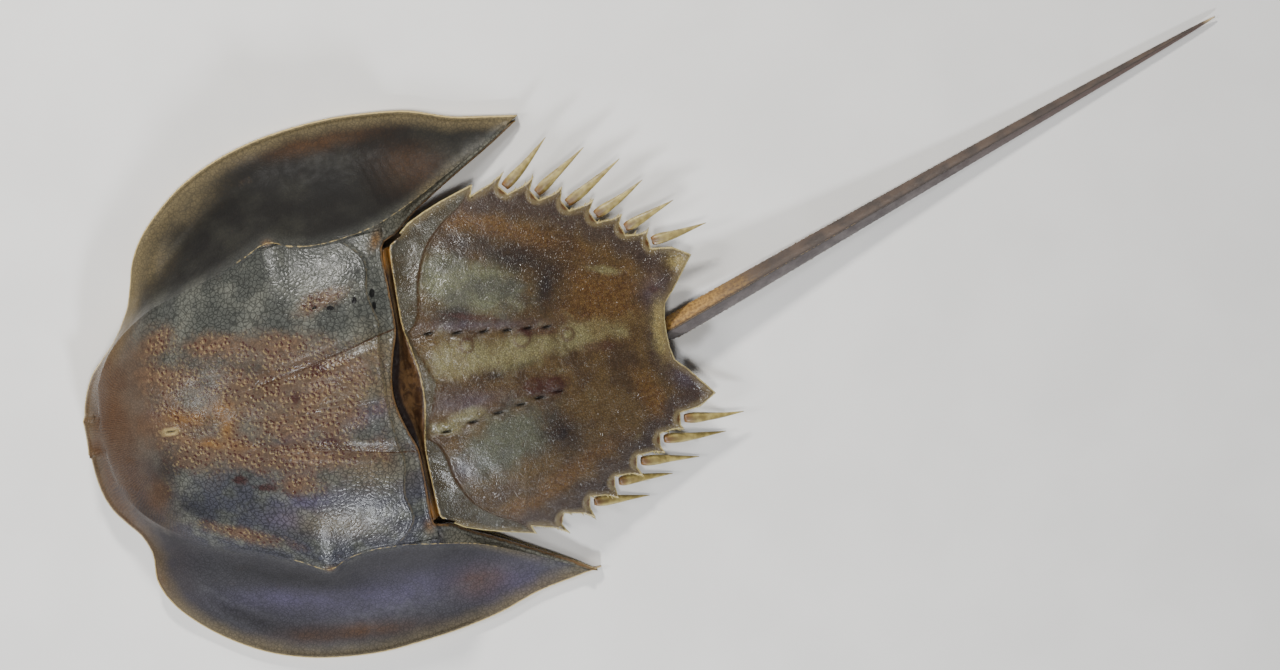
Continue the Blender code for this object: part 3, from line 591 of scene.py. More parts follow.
def opis_plan():
    sides = []
    for turns, mirror in ((RIGHT_SPINE_TURNS, 1), (LEFT_SPINE_TURNS, -1)):
        outer, inner = toothed_margin(turns)
        sides.append((outer * (1, mirror), inner * (1, mirror)))
    middle = np.array(REAR_LIP_MIDDLE)
    rim = finer(np.vstack([sides[0][0], middle[None], sides[1][0][::-1]]), OPIS_EDGE_STEPS)
    body = finer(np.vstack([sides[0][1], middle[None] - (2.0, 0.0), sides[1][1][::-1]]), OPIS_EDGE_STEPS)
    steps = np.linalg.norm(np.diff(body, axis=0), axis=1)
    share = np.concatenate([[0], np.cumsum(steps)]) / steps.sum()
    edge = full_curve(OPIS_FRONT_EDGE, OPIS_FRONT_MIDDLE, OPIS_FRONT_EDGE)
    length = run_length(edge)
    front = np.stack([np.interp(share * length[-1], length, edge[:, k]) for k in (0, 1)], axis=1)
    inner_t = np.linspace(0, 1, OPIS_INNER_ROWS + 1)[None, :, None]
    outer_t = np.linspace(0, 1, OPIS_TOOTH_ROWS + 1)[None, 1:, None]
    return np.concatenate([front[:, None] * (1 - inner_t) + body[:, None] * inner_t,
                           body[:, None] * (1 - outer_t) + rim[:, None] * outer_t], axis=1)


def opis_relief(x, y, to_front):
    """Ridges, pits, bosses, sockets and wrinkles of the rear shield, added to its base height."""
    side = np.abs(y)
    line = x - through(FACET_LINE, side)
    z = 0.15 * bell(line - 0.9, 0.6)
    for px, py in PITS:
        z -= 0.9 * np.exp(-(((x - px) / 1.6) ** 4) - ((side - py) / 0.45) ** 2)
        z += 0.45 * blob(x, side, (px + 0.5, py - 1.9), (2.2, 1.1))
        z += 0.3 * blob(x, side, (px + 0.5, py + 1.6), (2.4, 1.0))
    for bx, by, size in BOSSES:
        z += 0.9 * blob(x, y, (bx, by), (size, size)) - 0.5 * blob(x, y, (bx, by), (size * 0.4, size * 0.4))
    lobe = bell(y, 10.5, 4) * smooth(113.0, 118.0, x)
    z += 0.5 * lobe * bell(y, 3.0)
    z += 0.14 * lobe * np.sin(x * 4.2 + 1.4 * ripple(x, y, 7.0, 31)) * (1 - smooth(160.0, 180.0, x))
    lip = smooth(186.0, 192.0, x) * bell(y, 13.0, 4)
    z += 0.06 * lip * np.sin(y * 5.0 + ripple(x, y, 9.0, 32))
    crook = blob(x, side, (188.0, 30.0), (5.0, 7.0), -40)
    z += 0.08 * crook * np.sin((x + side) * 3.4 + ripple(x, y, 6.0, 33))
    for sx, sy in SOCKETS:
        away = np.hypot(x - sx - 0.6, side - sy - 0.2)
        z += 0.45 * bell(away - 2.9, 0.6) * smooth(2.0, -0.5, x - sx)
    hollow = blob(x, side, (202.4, 21.4), (4.0, 2.6), 38)
    z -= 1.0 * hollow
    z += 0.35 * bell(to_front - 0.7, 0.5)
    z += 0.09 * ripple(x, y, 9.0, 21) + 0.02 * ripple(x, y, 2.8, 22)
    return z


def make_rear_shield():
    plan = opis_plan()
    shape = plan.shape[:2]
    flat = plan.reshape(-1, 2)
    x, y = flat[:, 0], flat[:, 1]
    to_rim, _ = nearest(flat, plan[::2, -1])
    to_front, _ = nearest(flat, plan[::6, 0])
    base = opis_base(x, y)
    top = base + opis_relief(x, y, to_front) * smooth(0.3, 2.4, to_rim) - 0.5 * np.exp(-to_rim / 0.5)
    inside = base - WALL * steepness(plan, base.reshape(shape)).ravel()
    bottom = np.where(to_rim < 4.0, base - 0.9 - 1.2 * smooth(0.0, 2.0, to_rim), inside)
    top = np.maximum(top, bottom + 0.3)
    vertices, faces, kept = two_sided(plan, top.reshape(shape), bottom.reshape(shape), INSIDE_ROW_STEP)
    thing = mesh_from("rear_shield", vertices, faces)
    side = np.abs(y)
    values = patch_values(x, y, REAR_PATCHES)
    values["to_rim"] = to_rim
    values["to_front"] = to_front
    values["to_facet"] = np.abs(x - through(FACET_LINE, side)) + 6.0 * smooth(50.0, 55.0, side)
    values["facet"] = 1 - smooth(-0.6, 0.6, x - through(FACET_LINE, side))
    pit, ring = np.zeros_like(x), np.zeros_like(x)
    for px, py in PITS:
        pit = np.maximum(pit, np.exp(-(((x - px) / 1.7) ** 4) - ((side - py) / 0.55) ** 2))
    for bx, by, size in BOSSES:
        away = np.hypot(x - bx, y - by)
        ring = np.maximum(ring, bell(away - size, 0.6))
    values["pit"], values["boss_ring"] = pit, ring
    values["rear"] = smooth(184.0, 192.0, x)
    values["low_side"] = smooth(4.0, -20.0, y)
    sockets = [np.hypot(x - sx, side - sy) for sx, sy in SOCKETS]
    values["to_socket"] = np.min(sockets, axis=0)
    tell(thing, shape, kept, values)
    return thing


# Spines, tail, hinge and bristles

def side_and_up(forward):
    """The directions across and above one that isn't upright."""
    side = np.cross((0.0, 0.0, 1.0), forward)
    side /= np.linalg.norm(side)
    return side, np.cross(forward, side)


def tube(centres, forward, profiles):
    """A closed tube through profiles, each a list of (side, up) offsets round its centre."""
    side, up = side_and_up(forward)
    vertices = [np.array(centre) + a * side + b * up
                for centre, profile in zip(centres, profiles) for a, b in profile]
    n = len(profiles[0])
    faces = [tuple(range(n))[::-1], tuple(range(len(vertices) - n, len(vertices)))]
    for k in range(len(profiles) - 1):
        faces += [(k * n + i, k * n + (i + 1) % n, (k + 1) * n + (i + 1) % n, (k + 1) * n + i)
                  for i in range(n)]
    return vertices, faces


SPINE_RADII = [(0.0, 1.3), (0.05, 1.62), (0.16, 1.78), (0.4, 1.38), (0.7, 0.74), (0.93, 0.25), (1.0, 0.1)]


def make_side_spine(name, socket, turn, share, mirror, seed):
    """One movable side spine: a flattened cone with a groove along its upper side."""
    out, down = (math.radians(a) for a in turn)
    flat = np.array([math.cos(out), math.sin(out) * mirror, 0.0])
    forward = flat * math.cos(down) + np.array([0, 0, -math.sin(down)])
    x, y = socket
    height = float(opis_base(np.array([x]), np.array([y]))[0]) - 0.5 * MARGIN_THICKNESS
    gap = SPINE_GAP + SPINE_RADIUS * math.sin(down)
    start = np.array([x, y * mirror, height]) + gap * forward
    length = SPINE_LENGTH * share
    steps = np.linspace(0, 1, 34)
    radii = through(SPINE_RADII, steps)
    angles = 2 * math.pi * np.arange(20) / 20
    draw = random.Random(seed)
    bend = draw.uniform(-0.5, 0.5)
    side = np.cross((0.0, 0.0, 1.0), forward)
    centres = [start + forward * length * s + side * bend * math.sin(math.pi * s) for s in steps]
    profiles = []
    for s, r in zip(steps, radii):
        groove = 0.2 * bell(angles - 0.42 * math.pi, 0.28) * (1 - s) ** 0.7
        rough = 1 + 0.05 * np.sin(5 * angles + 9 * s + seed) - groove
        profiles.append(np.stack([r * rough * np.cos(angles), 0.78 * r * rough * np.sin(angles)], axis=1))
    vertices, faces = tube(centres, forward, profiles)
    thing = mesh_from(name, vertices, faces)
    attribute(thing, "along", np.repeat(steps, len(angles)))
    attribute(thing, "crown", np.tile(np.sin(angles), len(steps)))
    return thing


TELSON_HALF_WIDTH = [(0.0, 3.0), (0.02, 3.9), (0.06, 4.1), (0.3, 3.5), (0.55, 2.7), (0.8, 1.7),
                     (0.93, 0.95), (0.985, 0.5), (1.0, 0.2)]
TELSON_SECTION = [(0.0, 1.0), (-0.14, 0.8), (-0.5, 0.4), (-0.86, -0.1), (-1.0, -0.42), (-0.88, -0.68),
                  (-0.5, -0.8), (0.0, -0.78), (0.5, -0.8), (0.88, -0.68), (1.0, -0.42), (0.86, -0.1),
                  (0.5, 0.4), (0.14, 0.8)]


def telson_line(s):
    """The tail's middle line, a little hollow between its ends."""
    start, end = np.array(TELSON_BASE), np.array(TELSON_TIP)
    return start + (end - start) * s - np.array([0.0, 0.0, 2.2 * math.sin(math.pi * s)])


def telson_direction():
    line = np.array(TELSON_TIP) - np.array(TELSON_BASE)
    return line / np.linalg.norm(line)


def telson_half_width(s):
    return through(TELSON_HALF_WIDTH, s)


def make_tail():
    """A three-edged spike, its keel on top and set with small teeth."""
    section = rounded(TELSON_SECTION + [TELSON_SECTION[0]], 4)[:-1]
    steps = np.linspace(0, 1, 420)
    widths = telson_half_width(steps)
    forward = telson_direction()
    edge = np.clip(section[:, 1], 0, 1) ** 6 + np.abs(section[:, 0]) ** 12
    profiles = []
    for k, (s, w) in enumerate(zip(steps, widths)):
        tooth = 0.16 * (k % 5 == 0) * (1 - s)
        profiles.append(section * (w, w * 0.92) * (1 + (tooth * edge / max(w, 0.4))[:, None]))
    vertices, faces = tube([telson_line(s) for s in steps], forward, profiles)
    thing = mesh_from("tail_spine", vertices, faces)
    attribute(thing, "along", np.repeat(steps, len(section)))
    attribute(thing, "across", np.tile(section[:, 0], len(steps)))
    attribute(thing, "crown", np.tile(section[:, 1], len(steps)))
    return thing


def front_edge_height(x, y):
    """Height of the front shield's outer surface inside its crease, as far back as the hinge."""
    return dome_height(np.minimum(x, HINGE_X), y)


def make_hinge_skin():
    """The leathery skin across the hinge, wrinkled where it shows between the two shields."""
    half = HINGE_HALF_WIDTH - 0.6
    across = np.linspace(half, -half, 260)
    bulge = 4.3 * bell(across, 10.0)
    front, rear = HINGE_X - bulge, HINGE_X + HINGE_GAP + 0.7 * bulge
    u = np.linspace(0.0, 1.0, 29)
    start, end = (front - 3.2)[:, None], (rear + 3.2)[:, None]
    x = start + (end - start) * u[None]
    y = np.repeat(across[:, None], len(u), axis=1)
    open_share = np.clip((x - front[:, None]) / (rear - front)[:, None], 0, 1)
    shape = x.shape
    fx, fy = x.ravel(), y.ravel()
    blend = smooth(0.0, 1.0, open_share).ravel()
    top = front_edge_height(fx, fy) * (1 - blend) + opis_base(fx, fy) * blend - WALL * 1.35 - MEMBRANE_DROP
    gap = np.sin(math.pi * open_share.ravel())
    folds = np.sin(fx * 5.5 + 1.2 * ripple(fx, fy, 6.0, 41))
    top = top + gap * (0.5 + 0.18 * folds + 0.1 * ripple(fx, fy, 2.0, 42))
    plan = np.dstack([x, y])
    bottom = top - MEMBRANE_THICKNESS
    vertices, faces, kept = two_sided(plan, top.reshape(shape), bottom.reshape(shape), 1)
    thing = mesh_from("hinge_skin", vertices, faces)
    tell(thing, shape, kept, {"corner": smooth(36.0, 43.0, np.abs(fy)), "open_share": open_share.ravel()})
    return thing


class Bristles:
    """Fine stiff hairs and small cusps, gathered as thin closed cones for one mesh."""

    def __init__(self, seed):
        self.vertices, self.faces = [], []
        self.draw = random.Random(seed)

    def add(self, root, direction, length, radius):
        direction = np.array(direction, float)
        direction /= np.linalg.norm(direction)
        side = np.cross(direction, (0.0, 0.0, 1.0))
        side /= max(np.linalg.norm(side), 1e-6)
        up = np.cross(side, direction)
        first = len(self.vertices)
        root = np.array(root, float)
        for a, b in ((1, 0), (0, 1), (-1, 0), (0, -1)):
            self.vertices.append(root + radius * (a * side + b * up))
        self.vertices.append(root + direction * length)
        self.faces += [(first + i, first + (i + 1) % 4, first + 4) for i in range(4)]
        self.faces.append((first + 3, first + 2, first + 1, first))

    def along_line(self, line, count, lean, length, radius, height, outward=1.0):
        """Hairs on a plan line, leaning by lean (tailwards share) from straight out on the given side."""
        step = run_length(line)
        for k in range(count):
            at = step[-1] * (k + self.draw.uniform(0.1, 0.9)) / count
            x, y = (np.interp(at, step, line[:, i]) for i in (0, 1))
            i = min(np.searchsorted(step, at, side="right"), len(line) - 1)
            dx, dy = line[i] - line[i - 1]
            size = math.hypot(dx, dy) or 1.0
            out = np.array([dy, -dx]) / size * outward
            stray = [self.draw.uniform(-0.25, 0.25), self.draw.uniform(-0.25, 0.25)]
            aim = out + np.array([lean, 0.0]) + stray
            z = height(x, y) + self.draw.uniform(-0.3, 0.3)
            direction = (aim[0], aim[1], self.draw.uniform(-0.3, 0.4))
            size = length * self.draw.uniform(0.55, 1.2)
            self.add((x - 0.25 * aim[0], y - 0.25 * aim[1], z), direction, size, radius)

    def make(self, name):
        return mesh_from(name, self.vertices, self.faces)


def rim_height(x, y):
    return 2.0


def rear_slope(x, y):
    return 2.2 + 0.12 * max(0.0, 150.0 - x)


def make_shield_bristles():
    """Comb-like fringes on the rear edges and tips of the front shield."""
    hairs = Bristles(5)
    rear = rounded(REAR_EDGE[:6], 8)
    rim_right, rim_left = rounded(RIM_RIGHT[:5], 8), rounded(RIM_LEFT[:5], 8)
    for mirror, rim in ((1, rim_right), (-1, rim_left)):
        flip = np.array([1, mirror])
        hairs.along_line(rear * flip, 150, 0.5, 0.85, 0.14, rear_slope, outward=mirror)
        hairs.along_line(rim * flip, 120, 0.7, 0.7, 0.11, rim_height, outward=-mirror)
    return hairs.make("front_bristles")


def margin_height(x, y):
    return float(opis_base(np.array([x]), np.array([abs(y)]))[0]) - 0.7


def make_tooth_bristles():
    """Cusps and hairs on the front edges of the rear shield's teeth and round its rear corners."""
    hairs = Bristles(7)
    for turns, mirror in ((RIGHT_SPINE_TURNS, 1), (LEFT_SPINE_TURNS, -1)):
        outer, _ = toothed_margin(turns)
        flip = np.array([1, mirror])
        first = len(OPIS_SHOULDER) + 2
        hairs.along_line(outer[:first - 1] * flip, 70, 0.8, 0.55, 0.1, margin_height, outward=-mirror)
        for k in range(len(SOCKETS)):
            start = outer[first - 1 + 4 * k]
            knee, tip = outer[first + 4 * k], outer[first + 4 * k + 1]
            line = np.array([start, knee, tip]) * flip
            cusps = 3 if k else 0
            hairs.along_line(line, cusps, 0.9, 1.9, 0.36, margin_height, outward=-mirror)
            hairs.along_line(line, 26, 0.8, 0.95, 0.12, margin_height, outward=-mirror)
            foot = outer[first + 4 * k + 2]
            hairs.along_line(np.array([tip, foot]) * flip, 9, 0.8, 0.6, 0.1, margin_height, outward=-mirror)
        rear = outer[first + 4 * len(SOCKETS) - 1:]
        hairs.along_line(rear[:2] * flip, 26, 0.6, 0.8, 0.11, margin_height, outward=-mirror)
        hairs.along_line(rear[1:4] * flip, 44, 0.3, 0.6, 0.1, margin_height, outward=-mirror)
    return hairs.make("rear_bristles")


def make_tail_hairs():
    """Hairs along the tail's edges and upper face, thick near its base and few further out."""
    hairs = Bristles(9)
    forward = telson_direction()
    side, up = side_and_up(forward)
    for _ in range(TAIL_HAIRS):
        s = 0.015 + 0.33 * hairs.draw.random() ** 2.0
        w = float(telson_half_width(np.array([s]))[0])
        kind = hairs.draw.random()
        if kind < 0.4:
            a, b = hairs.draw.choice((1.0, -1.0)), -0.42
        elif kind < 0.6:
            a, b = 0.0, 1.0
        else:
            a = hairs.draw.uniform(0.15, 0.9)
            b = 0.95 - 1.3 * a
        root = telson_line(s) + 0.94 * w * (a * side + 0.92 * b * up)
        aim = forward * 1.5 + a * side + 0.8 * b * up
        length = hairs.draw.uniform(0.6, 1.3) if kind < 0.6 else hairs.draw.uniform(0.4, 0.8)
        hairs.add(root, aim, length, 0.07)
    return hairs.make("tail_hairs")


# Materials

def set_inputs(made, tree, inputs):
    for key, value in inputs.items():
        if isinstance(value, bpy.types.NodeSocket):
            tree.links.new(value, made.inputs[key])
        else:
            made.inputs[key].default_value = value


class Skin:
    """A material under construction, with short calls for the nodes that it needs."""

    def __init__(self, name):
        self.material = bpy.data.materials.new(name)
        self.material.use_nodes = True
        self.tree = self.material.node_tree
        self.shader = self.tree.nodes["Principled BSDF"]
        self.place = self.node("TexCoord", {}).outputs["Object"]
        self.colour = None

    def node(self, kind, inputs, **settings):
        made = self.tree.nodes.new("ShaderNode" + kind)
        for key, value in settings.items():
            setattr(made, key, value)
        set_inputs(made, self.tree, inputs)
        return made

    def value(self, name):
        return self.node("Attribute", {}, attribute_name=name).outputs["Fac"]

    def math(self, operation, a, b=0.0):
        return self.node("Math", {0: a, 1: b}, operation=operation).outputs[0]

    def times(self, a, b):
        return self.math("MULTIPLY", a, b)

    def plus(self, a, b):
        return self.math("ADD", a, b)

    def minus(self, a, b):
        return self.math("SUBTRACT", a, b)

    def noise(self, size, detail=3.0, distortion=0.0):
        """Noise from 0 to 1 with lumps of about the given size, in millimetres."""
        inputs = {"Vector": self.place, "Scale": 1000.0 / size, "Detail": detail, "Distortion": distortion}
        return self.node("TexNoise", inputs).outputs["Fac"]

    def cells(self, size, feature, place):
        """Distance to the edges or middles of irregular cells of the given size, in cell sizes."""
        inputs = {"Vector": place, "Scale": 1000.0 / size}
        return self.node("TexVoronoi", inputs, feature=feature).outputs["Distance"]

    def ramp(self, value, low, high, at_low=0.0, at_high=1.0):
        inputs = {"Value": value, "From Min": low, "From Max": high, "To Min": at_low, "To Max": at_high}
        return self.node("MapRange", inputs, interpolation_type="SMOOTHSTEP").outputs["Result"]

    def mix(self, factor, a, b):
        return self.node("Mix", {0: factor, 6: a, 7: b}, data_type="RGBA").outputs[2]

    def paint(self, factor, over):
        """Lay another colour over the skin's own, as far as the factor says."""
        self.colour = self.mix(factor, self.colour, over)

    def warped(self, size, amount):
        """The place, pushed about by noise, so that patterns look grown."""
        inputs = {"Vector": self.place, "Scale": 1000.0 / size, "Detail": 2.0}
        cloud = self.node("TexNoise", inputs).outputs["Color"]
        middle = self.node("VectorMath", {0: cloud, 1: (0.5, 0.5, 0.5)}, operation="SUBTRACT").outputs[0]
        push = self.node("VectorMath", {0: middle, "Scale": amount * MM}, operation="SCALE").outputs[0]
        return self.node("VectorMath", {0: self.place, 1: push}, operation="ADD").outputs[0]

    def patch(self, name, cloud, low=0.12, high=0.9, ragged=1.3):
        """A patch's cover with an edge that the noise frays."""
        frayed = self.plus(self.value(name), self.times(self.minus(cloud, 0.5), ragged))
        return self.ramp(frayed, low, high)

    def soft_patch(self, name, cloud):
        """A patch's cover that fades out evenly, a little cloudy inside."""
        return self.times(self.value(name), self.ramp(cloud, 0.3, 0.65, 0.6, 1.0))

    def finish(self, roughness, height, specular=0.5):
        bump = self.node("Bump", {"Height": height, "Distance": MM, "Strength": 1.0}).outputs["Normal"]
        inputs = {"Base Color": self.colour, "Roughness": roughness, "Normal": bump,
                  "Specular IOR Level": specular}
        set_inputs(self.shader, self.tree, inputs)
        return self.material


def tone(red, green, blue):
    return (red, green, blue, 1.0)


SLATE = tone(0.062, 0.065, 0.058)
SLATE_PALE = tone(0.120, 0.122, 0.103)
SLATE_LOW = tone(0.048, 0.049, 0.062)
FLANGE = tone(0.009, 0.008, 0.007)
FLANGE_PALE = tone(0.020, 0.019, 0.015)
FLANGE_LOW = tone(0.042, 0.040, 0.046)
KHAKI = tone(0.160, 0.124, 0.062)
OLIVE = tone(0.050, 0.043, 0.026)
COPPER = tone(0.150, 0.090, 0.052)
COPPER_DARK = tone(0.074, 0.045, 0.029)
NOSE = tone(0.060, 0.027, 0.014)
RUST = tone(0.078, 0.036, 0.013)
RUST_PALE = tone(0.135, 0.076, 0.026)
AMBER = tone(0.185, 0.092, 0.026)
# Painted sheen: a lilac tone for the shell's blue-purple shimmer
VIOLET_SHEEN = tone(0.088, 0.076, 0.135)
MAROON = tone(0.036, 0.012, 0.011)
DARK = tone(0.008, 0.008, 0.008)
SEAM = tone(0.040, 0.018, 0.008)
GOLD = tone(0.46, 0.35, 0.15)
PALE_GOLD = tone(0.44, 0.36, 0.16)
BRONZE = tone(0.088, 0.056, 0.024)
BRONZE_DARK = tone(0.054, 0.033, 0.018)
MARGIN = tone(0.048, 0.034, 0.030)
# Greenish grey with painted highlight, for the glossy strips beside the hinge
STRIP_GREY_AND_HIGHLIGHT = tone(0.150, 0.145, 0.115)
SAGE = tone(0.142, 0.145, 0.082)
SAGE_DARK = tone(0.066, 0.066, 0.050)
LOBE_GOLD = tone(0.190, 0.172, 0.082)
PLUM = tone(0.018, 0.014, 0.015)
UNDERSIDE = tone(0.20, 0.13, 0.065)


def front_skin():
    s = Skin("front_shield_skin")
    warp = s.warped(5.0, 1.2)
    cloud = s.noise(11.0, 5.0)
    speck = s.noise(1.6, 4.0)
    fray = s.noise(7.0, 6.0)
    brim = s.value("brim")
    low_side = s.value("low_side")
    cell = s.cells(1.55, "DISTANCE_TO_EDGE", warp)
    scale_edge = s.ramp(cell, 0.03, 0.14)
    swelling = s.ramp(cell, 0.0, 0.4)
    fine_edge = s.ramp(s.cells(0.8, "DISTANCE_TO_EDGE", warp), 0.03, 0.25)
    # Offset of the pore pattern, which sets the side of each pore's painted shade and painted highlight
    moved = s.node("VectorMath", {0: warp, 1: (0.0004, 0.00022, 0.0)}, operation="ADD").outputs[0]
    pore = s.ramp(s.cells(1.65, "F1", warp), 0.42, 0.3)
    pore_moved = s.ramp(s.cells(1.65, "F1", moved), 0.42, 0.3)
    slate = s.mix(s.ramp(cloud, 0.4, 0.66), SLATE, SLATE_PALE)
    slate = s.mix(s.times(low_side, s.ramp(fray, 0.3, 0.6)), slate, SLATE_LOW)
    flange = s.mix(s.ramp(cloud, 0.4, 0.7), FLANGE, FLANGE_PALE)
    flange = s.mix(s.times(low_side, 0.9), flange, FLANGE_LOW)
    s.colour = s.mix(brim, slate, flange)
    # Painted sheen: lilac patches for the shell's blue-purple shimmer
    s.paint(s.times(s.soft_patch("violet_sheen", fray), 0.6), VIOLET_SHEEN)
    s.paint(s.times(s.soft_patch("rust", fray), 0.75), RUST)
    margin = s.plus(s.value("to_rim"), s.times(fray, 3.0))
    margin = s.ramp(margin, 8.0, 1.8)
    s.paint(s.times(margin, s.ramp(low_side, 0.0, 1.0, 0.9, 0.6)), KHAKI)
    s.paint(s.times(s.soft_patch("khaki", fray), 0.6), KHAKI)
    warm = s.patch("warm", fray, 0.1, 0.95, 1.0)
    copper = s.mix(s.ramp(speck, 0.3, 0.7), COPPER_DARK, COPPER)
    copper = s.mix(s.ramp(cloud, 0.35, 0.7), copper, COPPER_DARK)
    s.paint(s.times(warm, 0.88), copper)
    wave = s.plus(s.times(s.value("around"), 8.0), s.times(fray, 26.0))
    stripe = s.ramp(s.math("SINE", wave), -1.0, 1.0)
    stripe = s.times(stripe, s.times(s.value("front"), s.ramp(brim, 0.1, 0.6, 1.0, 0.0)))
    # Painted highlight: the glossy strips beside the hinge drawn paler, over their own greenish grey
    strip = s.times(s.value("corner_strip_highlight"), s.ramp(fray, 0.3, 0.6, 0.5, 0.9))
    s.paint(strip, STRIP_GREY_AND_HIGHLIGHT)
    nose = s.times(s.value("front"), s.ramp(fray, 0.2, 0.62, 0.95, 0.55))
    nose = s.times(nose, s.ramp(brim, 0.3, 0.9, 1.0, 0.25))
    s.paint(nose, NOSE)
    s.paint(s.times(stripe, 0.3), COPPER)
    s.paint(s.times(s.soft_patch("amber", fray), 0.7), AMBER)
    s.paint(s.times(s.patch("maroon", speck), 0.8), MAROON)
    # Painted shade in the hollows of the brim and beside the crease, and some dark spots of the shell
    s.paint(s.times(s.soft_patch("dark", fray), 0.6), DARK)
    net = s.minus(1.0, scale_edge)
    net = s.times(net, s.ramp(warm, 0.0, 1.0, 1.0, 0.15))
    net = s.times(net, s.ramp(s.value("front"), 0.0, 0.6, 1.0, 0.15))
    s.paint(s.times(net, s.ramp(brim, 0.2, 1.0, 0.55, 0.3)), DARK)
    s.paint(s.ramp(fine_edge, 0.0, 1.0, 0.25, 0.0), DARK)
    porous = s.times(warm, s.ramp(s.value("front"), 0.0, 0.5, 1.0, 0.0))
    # Each pore drawn as if lit from one side: a crescent of painted shade in the pit and a painted highlight
    # on its far rim
    pore_shade_crescent = s.times(s.ramp(s.minus(pore, pore_moved), 0.05, 0.4), porous)
    pore_highlight = s.times(s.ramp(s.minus(pore_moved, pore), 0.1, 0.7), porous)
    s.paint(s.times(pore_shade_crescent, 0.9), MAROON)
    s.paint(s.times(pore_highlight, 0.25), GOLD)
    s.paint(s.ramp(s.value("spots"), 0.3, 0.5), DARK)
    s.paint(s.times(s.value("slit_lip"), 0.75), GOLD)
    # Painted shade inside the notch at the ocelli
    s.paint(s.value("slit"), DARK)
    thread = s.plus(s.value("to_crease"), s.times(speck, 1.1))
    s.paint(s.ramp(thread, 0.74, 0.46, 0.0, 0.6), GOLD)
    broken = s.plus(s.value("to_furrow"), s.times(speck, 0.8))
    s.paint(s.ramp(broken, 0.85, 0.45, 0.0, 0.8), SEAM)
    # Painted highlight: a pale khaki line along the raised step in front of the rear border strip
    s.paint(s.ramp(s.plus(s.value("to_border"), speck), 0.85, 0.6, 0.0, 0.3), KHAKI)
    s.paint(s.ramp(s.plus(s.value("to_rear"), speck), 1.3, 0.7, 0.0, 0.6), AMBER)
    line = s.plus(s.value("to_rim"), s.times(speck, 0.5))
    s.paint(s.ramp(line, 0.75, 0.4), GOLD)
    s.paint(s.value("inside"), UNDERSIDE)
    rough = s.ramp(s.noise(3.0, 4.0), 0.3, 0.75, 0.2, 0.34)
    rough = s.plus(rough, s.times(brim, 0.3))
    scales = s.times(swelling, s.ramp(brim, 0.0, 1.0, 0.05, 0.022))
    scales = s.times(scales, s.ramp(s.value("front"), 0.0, 0.6, 1.0, 0.2))
    grain = s.times(fine_edge, 0.012)
    roughen = s.times(s.noise(0.9, 4.0), 0.03)
    height = s.plus(s.plus(scales, grain), roughen)
    height = s.minus(height, s.times(s.times(pore, porous), 0.05))
    height = s.plus(height, s.times(stripe, 0.03))
    return s.finish(rough, height, FRONT_GLOSS)


